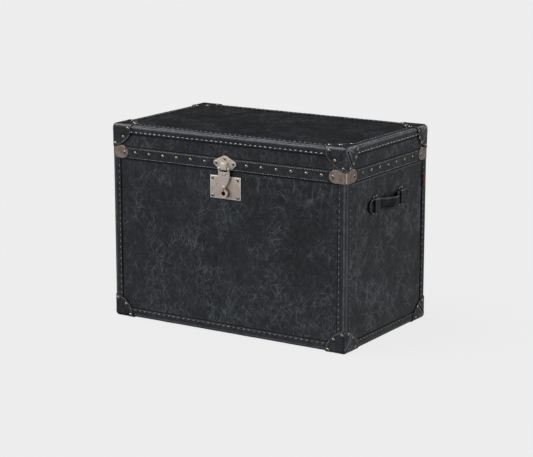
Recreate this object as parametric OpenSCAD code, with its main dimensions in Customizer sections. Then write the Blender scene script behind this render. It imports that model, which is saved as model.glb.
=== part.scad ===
// Steamer trunk: a plywood case and hinged lid covered in leather, with stitched
// bindings, nailed leather corner caps, metal corner clamps, a key lock with a
// swinging hasp, and a leather pull handle on each side.
// Frame: X is the width, the front with the lock faces -Y, +Z is up, and the
// origin is on the floor under the middle of the case.

/* [Case] */
// Width over the corner caps
trunk_w = 750; // [640:10:900]
// Depth over the corner caps
trunk_d = 450; // [400:10:560]
// Height from the floor to the top of the lid
trunk_h = 550; // [520:10:650]
// Height of the lid above the opening line
lid_h = 96; // [96:1:110]

/* [Panels and leather] */
// Thickness of the plywood panels
ply_t = 9; // [8:0.5:12]
// Thickness of the leather skins
skin_t = 2; // [1.5:0.25:2.5]
// Thickness of the leather bindings and of the lid band
trim_t = 2; // [1.5:0.25:2.5]
// Thickness of the leather that the corner caps add over the bindings
cap_t = 2.5; // [2.5:0.25:3]
// Thickness of the fabric lining
lining_t = 1.5; // [1:0.25:2]
// Width of the bindings, measured from the edge of the trunk
trim_w = 27; // [22:1:32]

/* [Corners] */
// Reach of the bottom corner caps from the corner
bottom_cap_r = 66; // [56:1:72]
// Reach of the top corner caps from the corner
top_cap_r = 67; // [62:1:70]
// Reach of each leg of the metal corner clamps
clamp_w = 53; // [44:1:60]
// Height of the metal corner clamps
clamp_h = 35; // [32:1:38]
// Sheet thickness of the metal corner clamps
clamp_t = 1.2; // [0.8:0.1:1.5]
// Radius of the dome-head nails
nail_r = 5; // [4:0.5:5.5]

/* [Lock] */
// Depth of the keyhole below the opening line
lock_drop = 62; // [60:1:68]
// Width of the lock plate
plate_w = 97; // [90:1:120]
// Width of the hasp at its top
hasp_w = 36; // [34:1:40]

/* [Handles] */
// Depth of the handle's middle below the opening line
handle_drop = 80; // [60:5:200]
// Width of the handle strap
strap_w = 32; // [26:1:36]
// How far the grip bows out from the side
grip_rise = 26; // [22:1:32]
// How far the strap can be pulled out through its loops
pull_travel = 3; // [2:0.5:4]

/* [Hinges] */
// Distance of each hinge's middle from the middle of the trunk
hinge_x = 228; // [150:1:240]
// Length of each hinge
hinge_len = 64; // [56:2:70]

/* [Hidden] */
$fn = 48;
eps = 0.01;
CORNERS = [["front_left", 1, 0], ["front_right", 0, 0], ["back_left", 1, 1], ["back_right", 0, 1]];
SIDES = [["left", 1], ["right", 0]];
half_w = trunk_w / 2;
half_d = trunk_d / 2;
split_z = trunk_h - lid_h;
// distance of each layer's outer face in from the overall box
trim_in = cap_t;
skin_in = trim_in + trim_t;
ply_in = skin_in + skin_t;
wall_in = ply_in + ply_t;
lined_in = wall_in + lining_t;
// edge radius of the caps, the bindings and the clamps
cap_edge_r = 11;
trim_edge_r = cap_edge_r - cap_t;
clamp_edge_r = trim_edge_r + clamp_t;
skin_edge = trim_edge_r - trim_t;
band_top = split_z + 31;
top_binding_z = trunk_h - 25;
// wooden tongue round the case's opening, which locates the lid
tongue_t = 3.5;
tongue_low = split_z - 20;
tongue_high = split_z + 8;
tongue_gap = 2;
// nails
nail_h = 2.6;
band_nail_z = split_z + 16.5;
front_nail_x0 = 67;
front_nail_pitch = 46;
side_nail_pitch = 45.5;
clamp_nail = 43;
// lock
lock_z = split_z - lock_drop;
plate_h = 62;
plate_t = 2;
plate_z0 = lock_z - 16.5;
lock_nail_r = 4.5;
lock_nail_rise = 2.8;
plate_face = half_d - skin_in + plate_t;
boss_r = 13;
boss_bore_r = 11.2;
boss_face = plate_face + 11;
plug_gap = 0.05;
key_bore_r = 6.6;
key_post_r = 2.3;
key_hub_r = 7.4;
keeper_r = 9.9;
keeper_pin_r = 0.8;
shaft_r = 4;
pocket_r = 7;
pocket_depth = 5;
shaft_end = half_d - ply_in - 2;
// layers of the lock, as distances from the trunk's middle towards the front
disc_back = plate_face + 3;
disc_front = plate_face + 5.2;
plug_face = boss_face - 0.8;
notch_half = 2.6;
// thin tail of the hasp inside the boss, and the slot in it that makes the hook
tail_half = 2;
tail_back = disc_back + 0.4;
tail_front = tail_back + 1.3;
tail_low = lock_z + 7.7;
hook_low = lock_z + 8.6;
hook_high = lock_z + 11.2;
hook_x = -0.9;
// hasp and its hinge
pin_r = 1.6;
pin_bore_r = 1.65;
knuckle_r = 4.2;
hasp_pin_y = -(half_d + 3.6);
hasp_pin_z = split_z + 4;
hasp_t = 2.2;
hasp_top = split_z - 3;
hasp_low = lock_z + 17.3;
ball_z = lock_z + 16.6;
ball_r = 3.3;
arm_w = 6;
hump_half = hasp_w / 2 - arm_w - 3;
hump_front = hasp_pin_y - knuckle_r;
shield_t = 1.6;
shield_face = half_d - trim_in + shield_t;
// handle, measured out from the side skin
handle_z = split_z - handle_drop;
side_face = half_w - skin_in;
strap_t = 6;
strap_gap = 0.3;
loop_y = 72;
loop_w = 24;
loop_t = 2.5;
loop_h = strap_w + 23;
loop_room = strap_w + 1;
loop_clear = strap_gap + strap_t + pull_travel + 0.3;
bow_half = 58;
tab_y = 88;
tab_r = strap_w / 2 + 3;
tab_t = 7.5;
rivet_z = strap_w / 2 + 7.2;
// leather tag, its distance from the back and its size
tag_y = 13;
tag_w = 11;
tag_t = 1.8;
tag_h = 39;
tag_z = split_z - 77;
// back hinges
hinge_y = half_d + 4;
hinge_r = 4;
leaf_t = 1.5;
leaf_h = 26;
leaf_gap = 4.5;
// end points of the knuckles along the hinge, from its middle
case_knuckles = [[-hinge_len / 2, -19], [-6, 6], [19, hinge_len / 2]];
lid_knuckles = [[-18.7, -6.3], [6.3, 18.7]];

// ---- helpers ----

// A box between two corners
module block(low, high) translate(low) cube(high - low);

// A box centred on X and Y, between two heights
module slab(w, d, z0, z1) block([-w / 2, -d / 2, z0], [w / 2, d / 2, z1]);

// Extrudes an outline drawn in Y and Z along X
module along_x(x0, x1) translate([x0, 0, 0]) rotate([90, 0, 90]) linear_extrude(x1 - x0) children();

// Extrudes an outline drawn in X and Z along Y
module along_y(y0, y1) translate([0, y1, 0]) rotate([90, 0, 0]) linear_extrude(y1 - y0) children();

// A rectangle with round corners, centred on X, from v0 to v1
module round_rect(w, v0, v1, r) {
    translate([-w / 2 + r, v0]) square([w - 2 * r, v1 - v0]);
    translate([-w / 2, v0 + r]) square([w, v1 - v0 - 2 * r]);
    for (x = [-w / 2 + r, w / 2 - r], v = [v0 + r, v1 - r]) translate([x, v]) circle(r);
}

// The whole trunk's outer shape, drawn in by inset, with edges of radius r
module rounded_case(inset, r) {
    w = trunk_w - 2 * inset;
    d = trunk_d - 2 * inset;
    intersection() {
        linear_extrude(trunk_h) round_rect(w, -d / 2, d / 2, r);
        along_x(-trunk_w, trunk_w) round_rect(d, inset, trunk_h - inset, r);
        along_y(-trunk_d, trunk_d) round_rect(w, inset, trunk_h - inset, r);
    }
}

// The plywood and the skins as one block, under the bindings and the caps
module core() {
    e = skin_in + skin_edge;
    slab(trunk_w - 2 * skin_in, trunk_d - 2 * e, e, trunk_h - e);
    slab(trunk_w - 2 * e, trunk_d - 2 * skin_in, e, trunk_h - e);
    slab(trunk_w - 2 * e, trunk_d - 2 * e, skin_in, trunk_h - skin_in);
    slab(trunk_w - 2 * ply_in, trunk_d - 2 * ply_in, ply_in, trunk_h - ply_in);
}

// Turns what is drawn for the front right corner into another corner
module corner(flip_x, flip_y) mirror([flip_x, 0, 0]) mirror([0, flip_y, 0]) children();

module all_corners() for (c = CORNERS) corner(c[1], c[2]) children();

// A dome-head nail, standing on Z = 0
module nail(r = nail_r, h = nail_h) {
    ball = (r * r + h * h) / (2 * h);
    intersection() {
        translate([0, 0, h - ball]) sphere(ball);
        cylinder(r = r + 1, h = h + 1);
    }
}

// Places what stands on Z = 0 on a front, right-hand or top face
module on_front(x, z, face) translate([x, -face, z]) rotate([90, 0, 0]) children();
module on_right(y, z, face) translate([face, y, z]) rotate([0, 90, 0]) children();
module on_top(x, y, face) translate([x, y, face]) children();

// ---- plywood case ----

module front_panel() color("burlywood") difference() {
    slab_y(-(half_d - ply_in), -(half_d - wall_in), ply_in, split_z);
    plug_pocket();
}
module back_panel() color("burlywood") slab_y(half_d - wall_in, half_d - ply_in, ply_in, split_z);
module left_panel() color("burlywood") slab_x(-(half_w - ply_in), -(half_w - wall_in), ply_in, split_z);
module right_panel() color("burlywood") slab_x(half_w - wall_in, half_w - ply_in, ply_in, split_z);
module bottom_panel() color("burlywood")
    slab(trunk_w - 2 * wall_in, trunk_d - 2 * wall_in, ply_in, wall_in);

// Front and back panels run the full width, side panels fit between them
module slab_y(y0, y1, z0, z1) block([-(half_w - ply_in), y0, z0], [half_w - ply_in, y1, z1]);
module slab_x(x0, x1, z0, z1) block([x0, -(half_d - wall_in), z0], [x1, half_d - wall_in, z1]);

// Round pocket behind the lock plate for the end of the key plug
module plug_pocket() on_front(0, lock_z, half_d - ply_in - pocket_depth) cylinder(r = pocket_r, h = 20);

// ---- leather skins of the case ----

skin_reach_x = half_w - skin_in - skin_edge;
skin_reach_y = half_d - skin_in - skin_edge;
skin_low = skin_in + skin_edge;

module front_skin() color([0.2, 0.21, 0.23]) difference() {
    block([-skin_reach_x, -(half_d - skin_in), skin_low], [skin_reach_x, -(half_d - ply_in), split_z]);
    plug_pocket();
}
module back_skin() color([0.2, 0.21, 0.23])
    block([-skin_reach_x, half_d - ply_in, skin_low], [skin_reach_x, half_d - skin_in, split_z]);
module right_skin() color([0.22, 0.23, 0.24])
    block([half_w - ply_in, -skin_reach_y, skin_low], [half_w - skin_in, skin_reach_y, split_z]);
module left_skin() mirror([1, 0, 0]) right_skin();
module bottom_skin() color([0.18, 0.18, 0.19])
    slab(2 * skin_reach_x, 2 * skin_reach_y, skin_in, ply_in);

// ---- bindings ----

// Upright binding of the front right corner
module corner_trim() color([0.16, 0.17, 0.19]) difference() {
    intersection() {
        rounded_case(trim_in, trim_edge_r);
        block([half_w - trim_w, -half_d, trim_w], [half_w, -half_d + trim_w, split_z]);
    }
    core();
}

module bottom_binding() color([0.16, 0.17, 0.19]) difference() {
    intersection() {
        rounded_case(trim_in, trim_edge_r);
        slab(trunk_w, trunk_d, 0, trim_w);
    }
    core();
    slab(trunk_w - 2 * trim_w, trunk_d - 2 * trim_w, -1, skin_in + eps);
}

module lid_top_binding() color([0.16, 0.17, 0.19]) difference() {
    intersection() {
        rounded_case(trim_in, trim_edge_r);
        slab(trunk_w, trunk_d, top_binding_z, trunk_h);
    }
    core();
    slab(trunk_w - 2 * trim_w, trunk_d - 2 * trim_w, trunk_h - skin_in - eps, trunk_h + 1);
}

module lid_band() color([0.15, 0.16, 0.18]) difference() {
    intersection() {
        rounded_case(trim_in, trim_edge_r);
        slab(trunk_w, trunk_d, split_z, band_top);
    }
    core();
}

// ---- corner caps ----

module bottom_cap() color([0.13, 0.14, 0.16]) difference() {
    intersection() {
        rounded_case(0, cap_edge_r);
        translate([half_w, -half_d, 0]) sphere(bottom_cap_r);
    }
    core();
    bottom_binding();
    corner_trim();
}

// Outline of a top cap on the top of the lid: a blunt triangle, larger than the side lobes
module top_lobe() translate([half_w, -half_d]) mirror([1, 0])
    polygon([[0, 0], [62, 0], [74, 10], [79, 25], [25, 79], [10, 74], [0, 62]]);

module top_cap() color([0.13, 0.14, 0.16]) difference() {
    intersection() {
        rounded_case(0, cap_edge_r);
        union() {
            translate([half_w, -half_d, trunk_h]) sphere(top_cap_r);
            translate([0, 0, trunk_h - skin_in]) linear_extrude(skin_in) top_lobe();
        }
    }
    core();
    lid_top_binding();
    lid_band();
    clamp();
}

// ---- metal clamps at the lower corners of the lid ----

module clamp() color([0.42, 0.37, 0.33]) difference() {
    intersection() {
        rounded_case(trim_in - clamp_t, clamp_edge_r);
        union() {
            along_y(-half_d, -half_d + trim_w) leg_outline(half_w);
            along_x(half_w - trim_w, half_w) mirror([1, 0]) leg_outline(half_d);
        }
    }
    rounded_case(trim_in, trim_edge_r);
}

// One leg of a clamp: a strip with a half-round end
module leg_outline(edge) {
    r = clamp_h / 2;
    translate([edge - clamp_w + r, split_z]) square([clamp_w - r, clamp_h]);
    translate([edge - clamp_w + r, split_z + r]) circle(r);
}

module corner_clamps() all_corners() clamp();

// ---- lid ----

module lid_top_panel() color("burlywood")
    slab(trunk_w - 2 * wall_in, trunk_d - 2 * wall_in, trunk_h - wall_in, trunk_h - ply_in);
module lid_front_panel() color("burlywood")
    slab_y(-(half_d - ply_in), -(half_d - wall_in), split_z, trunk_h - ply_in);
module lid_back_panel() mirror([0, 1, 0]) lid_front_panel();
module lid_right_panel() color("burlywood")
    slab_x(half_w - wall_in, half_w - ply_in, split_z, trunk_h - ply_in);
module lid_left_panel() mirror([1, 0, 0]) lid_right_panel();

module lid_top_skin() color([0.17, 0.18, 0.2])
    slab(2 * skin_reach_x, 2 * skin_reach_y, trunk_h - ply_in, trunk_h - skin_in);

module lid_side_skins() color([0.2, 0.21, 0.23]) {
    top = trunk_h - skin_low;
    for (m = [0, 1]) mirror([0, m, 0])
        block([-skin_reach_x, -(half_d - skin_in), split_z], [skin_reach_x, -(half_d - ply_in), top]);
    for (m = [0, 1]) mirror([m, 0, 0])
        block([half_w - ply_in, -skin_reach_y, split_z], [half_w - skin_in, skin_reach_y, top]);
}

// ---- linings and the tongue round the opening ----

module case_lining() color([0.55, 0.48, 0.38]) difference() {
    slab(trunk_w - 2 * wall_in, trunk_d - 2 * wall_in, wall_in, tongue_low);
    slab(trunk_w - 2 * lined_in, trunk_d - 2 * lined_in, lined_in, trunk_h);
}

module lid_lining() color([0.55, 0.48, 0.38]) difference() {
    slab(trunk_w - 2 * wall_in, trunk_d - 2 * wall_in, tongue_high + 4, trunk_h - wall_in);
    slab(trunk_w - 2 * lined_in, trunk_d - 2 * lined_in, 0, trunk_h - lined_in);
}

module rim_tongue() color([0.6, 0.45, 0.3]) difference() {
    union() {
        slab(trunk_w - 2 * wall_in, trunk_d - 2 * wall_in, tongue_low, split_z);
        upper_in = wall_in + tongue_gap;
        slab(trunk_w - 2 * upper_in, trunk_d - 2 * upper_in, split_z - 1, tongue_high);
    }
    inner_in = wall_in + tongue_t;
    slab(trunk_w - 2 * inner_in, trunk_d - 2 * inner_in, 0, trunk_h);
}

// ---- nails ----

// Nails of each cap, as distances from the corner along the two edges of a face
bottom_cap_front_nails = [[11.5, 52], [38, 37], [54, 8]];
bottom_cap_side_nails = [[18, 52], [42, 38], [54, 10]];
top_cap_front_nails = [[55, 12], [38, 38], [12, 57]];
top_cap_side_nails = [[56, 13], [50, 33], [39, 48], [17, 58]];
top_cap_top_nails = [[66, 24], [46, 45], [24, 66]];

module case_nails() color([0.7, 0.65, 0.58]) all_corners() {
    for (p = bottom_cap_front_nails) on_front(half_w - p[0], p[1], half_d) nail();
    for (p = bottom_cap_side_nails) on_right(-half_d + p[0], p[1], half_w) nail();
}

module front_band_nail(i)
    on_front(front_nail_x0 + front_nail_pitch * i, band_nail_z, half_d - trim_in) nail();

module lid_nails() color([0.7, 0.65, 0.58]) {
    all_corners() {
        for (p = top_cap_front_nails) on_front(half_w - p[0], trunk_h - p[1], half_d) nail();
        for (p = top_cap_side_nails) on_right(-half_d + p[0], trunk_h - p[1], half_w) nail();
        for (p = top_cap_top_nails) on_top(half_w - p[0], -half_d + p[1], trunk_h) nail();
        on_front(half_w - clamp_nail, band_nail_z, half_d - trim_in + clamp_t) nail();
        on_right(-half_d + clamp_nail, band_nail_z, half_w - trim_in + clamp_t) nail();
    }
    for (m = [0, 1]) mirror([m, 0, 0]) {
        for (i = [0:5]) front_band_nail(i);
        // the back has nails where the lock would be, and none behind the hinges
        for (i = [-1, 0, 1, 2, 5]) mirror([0, 1, 0]) front_band_nail(i);
        for (i = [-3:3]) on_right(side_nail_pitch * i, band_nail_z, half_w - trim_in) nail();
    }
}

// ---- lock ----

module lock_plate() color([0.72, 0.66, 0.6]) difference() {
    union() {
        block([-plate_w / 2, -(half_d - skin_in + 1.2), plate_z0],
            [plate_w / 2, -(half_d - skin_in), plate_z0 + plate_h]);
        block([-plate_w / 2 + 2, -plate_face, plate_z0 + 2],
            [plate_w / 2 - 2, -(half_d - skin_in), plate_z0 + plate_h - 2]);
    }
    on_front(0, lock_z, half_d - skin_in - 1) cylinder(r = shaft_r + plug_gap, h = 10);
}

// Round housing of the key plug, open at its top for the end of the hasp
module lock_boss() color([0.75, 0.7, 0.64]) difference() {
    on_front(0, lock_z, plate_face) difference() {
        cylinder(r = boss_r, h = boss_face - plate_face);
        translate([0, 0, -1]) cylinder(r = boss_bore_r, h = 20);
    }
    block([-notch_half, -boss_face - 1, lock_z], [notch_half, -disc_back, lock_z + 20]);
}

// Turning plug: a back disc, a hub with a round keyway and its post, a notched
// front disc, and a keeper pin that turns into the hook on the hasp
module key_plug() color([0.68, 0.62, 0.56]) {
    rim = boss_bore_r - plug_gap;
    difference() {
        union() {
            on_front(0, lock_z, plate_face + 0.2) cylinder(r = rim, h = disc_back - plate_face - 0.2);
            on_front(0, lock_z, disc_back - 1) cylinder(r = key_hub_r, h = plug_face - disc_back + 1);
            on_front(0, lock_z, disc_front) cylinder(r = rim, h = plug_face - disc_front);
            on_front(0, lock_z, shaft_end) cylinder(r = shaft_r, h = disc_back - 1 - shaft_end);
            on_front(keeper_r, lock_z, disc_back - 1)
                cylinder(r = keeper_pin_r, h = disc_front - disc_back + 2);
        }
        block([-notch_half, -plug_face - 1, lock_z + key_hub_r], [notch_half, -disc_back, lock_z + 20]);
        on_front(0, lock_z, disc_back) difference() {
            cylinder(r = key_bore_r, h = 20);
            translate([0, 0, -1]) cylinder(r = key_post_r, h = plug_face - disc_back);
        }
        clip_groove();
    }
}

module clip_groove() on_front(0, lock_z, half_d - ply_in) difference() {
    cylinder(r = shaft_r + 1, h = 1);
    translate([0, 0, -1]) cylinder(r = shaft_r - 1, h = 3);
}

// Spring clip that keeps the plug in the lock plate
module plug_clip() color("dimgray") on_front(0, lock_z, half_d - ply_in + 0.05) difference() {
    cylinder(r = shaft_r + 2, h = 0.9);
    translate([0, 0, -1]) cylinder(r = shaft_r - 1 + plug_gap, h = 3);
}

module lock_nails() color([0.75, 0.7, 0.64])
    for (x = [-1, 1], z = [7, plate_h - 7])
        on_front(x * (plate_w / 2 - 8), plate_z0 + z, plate_face) nail(lock_nail_r, lock_nail_rise);

// ---- hasp ----

// Shield on the lid with three round lobes and a hump that holds the hasp's pin
module hasp_hinge_plate() color([0.72, 0.66, 0.6]) difference() {
    union() {
        along_y(-shield_face, -(shield_face - shield_t)) shield_outline();
        along_x(-hump_half, hump_half) {
            translate([hasp_pin_y, hasp_pin_z]) circle(knuckle_r);
            polygon([[-shield_face + 0.1, split_z + 0.6], [-shield_face + 0.1, split_z + 21.5],
                [hump_front + 5.8, split_z + 21.3], [hump_front + 2.8, split_z + 19.5],
                [hump_front + 0.8, split_z + 16], [hump_front, split_z + 11],
                [hump_front, hasp_pin_z], [hasp_pin_y, hasp_pin_z - 3]]);
        }
    }
    along_x(-trunk_w, trunk_w) translate([hasp_pin_y, hasp_pin_z]) circle(pin_bore_r);
}

module shield_outline() {
    z = split_z;
    polygon([[-19, z + 0.6], [19, z + 0.6], [33, z + 13], [33, z + 24.5], [6, z + 38.5],
        [-6, z + 38.5], [-33, z + 24.5], [-33, z + 13]]);
    for (x = [-29, 29]) translate([x, z + 19]) circle(7.4);
    translate([0, z + 29]) circle(10.5);
}

module hasp_plate_nails() color([0.75, 0.7, 0.64]) {
    on_front(0, split_z + 31, shield_face) nail(lock_nail_r, lock_nail_rise);
    for (x = [-27, 27]) on_front(x, split_z + 19, shield_face) nail(lock_nail_r, lock_nail_rise);
}

module hasp_pin() color("dimgray") {
    along_x(-hasp_w / 2 - 0.3, hasp_w / 2 + 0.3) translate([hasp_pin_y, hasp_pin_z]) circle(pin_r);
    for (m = [0, 1]) mirror([m, 0, 0])
        along_x(hasp_w / 2 + 0.2, hasp_w / 2 + 1.2) translate([hasp_pin_y, hasp_pin_z]) circle(2.4);
}

// The hasp narrows from its two arms to the ball at its toe
function hasp_half(t) = 5.5 + (hasp_w / 2 - 5.5) * sin(90 * min(1, t * 1.35));
hasp_steps = 12;
hasp_edge = [for (i = [0:hasp_steps]) let (t = i / hasp_steps)
    [hasp_half(t), hasp_low + (hasp_top - hasp_low) * t]];

module hasp() color([0.78, 0.72, 0.66]) {
    back = -hasp_pin_y - hasp_t / 2;
    front = back + hasp_t;
    difference() {
        union() {
            along_y(-front, -back) polygon(concat(hasp_edge,
                [for (i = [hasp_steps:-1:0]) [-hasp_edge[i][0], hasp_edge[i][1]]]));
            for (m = [0, 1]) mirror([m, 0, 0]) {
                along_x(hasp_w / 2 - arm_w, hasp_w / 2) translate([hasp_pin_y, hasp_pin_z]) circle(knuckle_r);
                block([hasp_w / 2 - arm_w, -front, hasp_top - 3], [hasp_w / 2, -back, hasp_pin_z]);
            }
        }
        along_x(-trunk_w, trunk_w) translate([hasp_pin_y, hasp_pin_z]) circle(pin_bore_r);
    }
    translate([0, hasp_pin_y, ball_z]) sphere(ball_r);
    // thin tail below the ball, with a hook that is open on its right-hand side
    difference() {
        block([-tail_half, -tail_front, tail_low], [tail_half, -tail_back, ball_z]);
        block([hook_x, -tail_front - 1, hook_low], [tail_half + 1, -tail_back + 1, hook_high]);
    }
}

// ---- handles ----

// How far the middle of the strap stands out at a distance y from the handle's middle
function bow(y) = abs(y) >= bow_half ? 0 : grip_rise / 2 * (1 + cos(180 * y / bow_half));
bow_steps = 24;
bow_line = [for (i = [-bow_steps:bow_steps]) bow_half * i / bow_steps];

module handle_strap() color([0.12, 0.13, 0.15]) {
    inner = side_face + strap_gap;
    outer = inner + strap_t;
    translate([0, 0, handle_z - strap_w / 2]) linear_extrude(strap_w) polygon(concat(
        [[inner, -tab_y]], [for (y = bow_line) [inner + bow(y), y]], [[inner, tab_y]],
        [[outer, tab_y]], [for (y = bow_line) [outer + bow(y), -y]], [[outer, -tab_y]]));
    for (m = [0, 1]) mirror([0, m, 0]) intersection() {
        on_right(-tab_y, handle_z, inner) cylinder(r = tab_r, h = tab_t);
        block([0, -trunk_d, 0], [trunk_w, -tab_y + 2, trunk_h]);
    }
}

// A box at the handle's height, t thick from x0 outwards, w long from y0 and h high
module on_side(x0, t, y0, w, h) block([x0, y0, handle_z - h / 2], [x0 + t, y0 + w, handle_z + h / 2]);

// Two leather loops that hold the strap against the side
module handle_loops() color([0.14, 0.15, 0.17]) for (m = [0, 1]) mirror([0, m, 0]) difference() {
    y0 = -loop_y - loop_w / 2;
    outer = side_face + loop_clear + loop_t;
    union() {
        on_side(side_face, loop_t, y0, loop_w, loop_h);
        on_side(side_face, outer - side_face, y0, loop_w, loop_room + 2 * loop_t);
    }
    on_side(side_face - 1, loop_clear + 1, y0 - 1, loop_w + 2, loop_room);
}

module handle_rivets() color([0.7, 0.65, 0.58])
    for (mx = [0, 1], my = [0, 1], dy = [-6.5, 6.5], dz = [-rivet_z, rivet_z])
        mirror([mx, 0, 0]) mirror([0, my, 0])
            on_right(-loop_y + dy, handle_z + dz, side_face + loop_t) nail(3.5, 2.2);

// Small blank leather tag on the right-hand side, at the back binding
module leather_tag() color([0.45, 0.3, 0.25])
    block([half_w - trim_in, half_d - tag_y - tag_w, tag_z],
        [half_w - trim_in + tag_t, half_d - tag_y, tag_z + tag_h]);

// ---- back hinges ----

module at_hinges() for (m = [0, 1]) mirror([m, 0, 0]) translate([hinge_x, 0, 0]) children();

module hinge_bore() along_x(-hinge_len, hinge_len) translate([hinge_y, split_z]) circle(pin_bore_r);

// Case leaf: a plate on the back skin, three knuckles, and the lugs that stop the lid
module hinge_case_leaves() color([0.5, 0.46, 0.42]) at_hinges() difference() {
    face = half_d - skin_in;
    top = split_z - leaf_gap;
    union() {
        block([-hinge_len / 2, face, top - leaf_h], [hinge_len / 2, face + leaf_t, top]);
        for (k = case_knuckles) along_x(k[0], k[1]) {
            translate([hinge_y, split_z]) circle(hinge_r);
            polygon([[face, top - 1], [face, split_z - 0.5], [hinge_y - 1, split_z - 0.5],
                [hinge_y - 1, split_z - hinge_r + 0.5], [face + leaf_t + 1, top - 3]]);
            // the lug that the lid's leaf comes to rest on when the lid is fully open
            translate([hinge_y, split_z]) polygon([[1, -2.5], [3, 2.4], [4.6, 3.2], [7, 2.8], [6, 0]]);
        }
    }
    hinge_bore();
}

module hinge_lid_leaves() color([0.5, 0.46, 0.42]) at_hinges() difference() {
    face = half_d - trim_in;
    low = split_z + leaf_gap;
    union() {
        block([-hinge_len / 2, face, low], [hinge_len / 2, face + leaf_t, low + leaf_h]);
        for (k = lid_knuckles) along_x(k[0], k[1]) {
            translate([hinge_y, split_z]) circle(hinge_r);
            polygon([[face, split_z + 0.5], [face, low + 1], [face + leaf_t, low + 2],
                [hinge_y - 1, split_z + hinge_r - 0.3], [hinge_y - 1, split_z + 0.5]]);
        }
    }
    hinge_bore();
}

module hinge_pins() color("dimgray") at_hinges() {
    along_x(-hinge_len / 2 - 0.5, hinge_len / 2 + 0.5) translate([hinge_y, split_z]) circle(pin_r);
    for (m = [0, 1]) mirror([m, 0, 0])
        along_x(hinge_len / 2 + 0.4, hinge_len / 2 + 1.6) translate([hinge_y, split_z]) circle(2.6);
}

module hinge_screws(z, face) color([0.6, 0.56, 0.5]) at_hinges() mirror([0, 1, 0])
    for (x = [-22, 0, 22]) on_front(x, z, face) nail(3.2, 1.4);

module hinge_case_screws() hinge_screws(split_z - leaf_gap - leaf_h / 2 - 2, half_d - skin_in + leaf_t);
module hinge_lid_screws() hinge_screws(split_z + leaf_gap + leaf_h / 2 + 1, half_d - trim_in + leaf_t);

// ---- nodes ----

front_panel();
back_panel();
left_panel();
right_panel();
bottom_panel();
front_skin();
back_skin();
left_skin();
right_skin();
bottom_skin();
for (c = CORNERS) {
    corner(c[1], c[2]) corner_trim();
    corner(c[1], c[2]) bottom_cap();
    corner(c[1], c[2]) top_cap();
}
bottom_binding();
rim_tongue();
case_lining();
case_nails();
lock_plate();
lock_boss();
lock_nails();
key_plug();
plug_clip();
for (s = SIDES) {
    mirror([s[1], 0, 0]) handle_strap();
    mirror([s[1], 0, 0]) handle_loops();
}
handle_rivets();
leather_tag();
hinge_case_leaves();
hinge_case_screws();
hinge_pins();
hinge_lid_leaves();
hinge_lid_screws();
lid_top_panel();
lid_front_panel();
lid_back_panel();
lid_left_panel();
lid_right_panel();
lid_top_skin();
lid_side_skins();
lid_top_binding();
lid_band();
corner_clamps();
lid_nails();
lid_lining();
hasp_hinge_plate();
hasp_plate_nails();
hasp_pin();
hasp();
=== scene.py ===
"""A steamer trunk: black leather over plywood, with stitched bindings, nailed corner caps,
metal clamps, a hasp lock and pull handles. Everything is in metres, in the CAD frame."""
import math
import random

import bmesh
import bpy
import numpy as np
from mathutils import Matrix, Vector


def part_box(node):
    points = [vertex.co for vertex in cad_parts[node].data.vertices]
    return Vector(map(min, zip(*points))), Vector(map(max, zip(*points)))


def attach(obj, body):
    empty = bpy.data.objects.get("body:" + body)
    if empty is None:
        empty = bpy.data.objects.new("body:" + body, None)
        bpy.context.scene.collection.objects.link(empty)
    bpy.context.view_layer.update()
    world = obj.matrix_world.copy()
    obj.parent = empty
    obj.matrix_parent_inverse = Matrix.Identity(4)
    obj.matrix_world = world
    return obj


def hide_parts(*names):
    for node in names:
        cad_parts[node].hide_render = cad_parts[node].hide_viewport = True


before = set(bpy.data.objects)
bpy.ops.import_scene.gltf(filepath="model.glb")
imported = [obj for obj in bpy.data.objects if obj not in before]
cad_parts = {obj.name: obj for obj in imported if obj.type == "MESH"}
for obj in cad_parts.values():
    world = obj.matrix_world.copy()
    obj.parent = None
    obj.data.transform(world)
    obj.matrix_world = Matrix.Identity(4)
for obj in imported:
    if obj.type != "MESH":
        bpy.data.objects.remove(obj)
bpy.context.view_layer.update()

MM = 0.001


# ---------------------------------------------------------------- sizes, read from the frame

def low(node):
    return np.array(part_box(node)[0])


def high(node):
    return np.array(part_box(node)[1])


HALF_W, HALF_D = high("bottom_cap_back_right")[:2]
TOP = high("top_cap_front_right")[2]
SPLIT = high("front_skin")[2]
SKIN_X, SKIN_Y = high("right_skin")[0], high("back_skin")[1]
SKIN_LOW, SKIN_TOP = low("bottom_skin")[2], high("lid_top_skin")[2]
TRIM_X, TRIM_Y, BAND_TOP = high("lid_band")
TRIM_T = TRIM_X - SKIN_X
TRIM_LOW, BINDING_TOP = low("bottom_binding")[2], high("bottom_binding")[2]
TRIM_TOP, BINDING_LOW = high("lid_top_binding")[2], low("lid_top_binding")[2]
TRIM_W = BINDING_TOP - low("bottom_cap_front_right")[2]
CLAMP_X, CLAMP_Y, CLAMP_TOP = high("corner_clamps")
SKIN_T = SKIN_X - low("right_skin")[0]
CAP_EDGE_R = 11 * MM
TRIM_EDGE_R = CAP_EDGE_R - (HALF_W - TRIM_X)
STITCH_IN = 3.6 * MM
CLAMP_LEG = 53 * MM
CORNERS = [(sx, sy) for sx in (-1, 1) for sy in (-1, 1)]


def corner_name(sx, sy):
    return ("front" if sy < 0 else "back") + ("_left" if sx < 0 else "_right")


# ---------------------------------------------------------------- mesh helpers

def tube(rings, joined=False):
    """A closed solid through rings of points: with flat ends, or joined end to start."""
    rings = np.asarray(rings, float)
    count, size = rings.shape[:2]
    faces = []
    for i in range(count if joined else count - 1):
        first, second = i * size, (i + 1) % count * size
        for j in range(size):
            k = (j + 1) % size
            faces.append((first + j, first + k, second + k, second + j))
    if not joined:
        faces.append(tuple(range(size)))
        faces.append(tuple(range((count - 1) * size, count * size)))
    return rings.reshape(-1, 3), faces


def add_object(name, data):
    obj = bpy.data.objects.new(name, data)
    bpy.context.scene.collection.objects.link(obj)
    return obj


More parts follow.
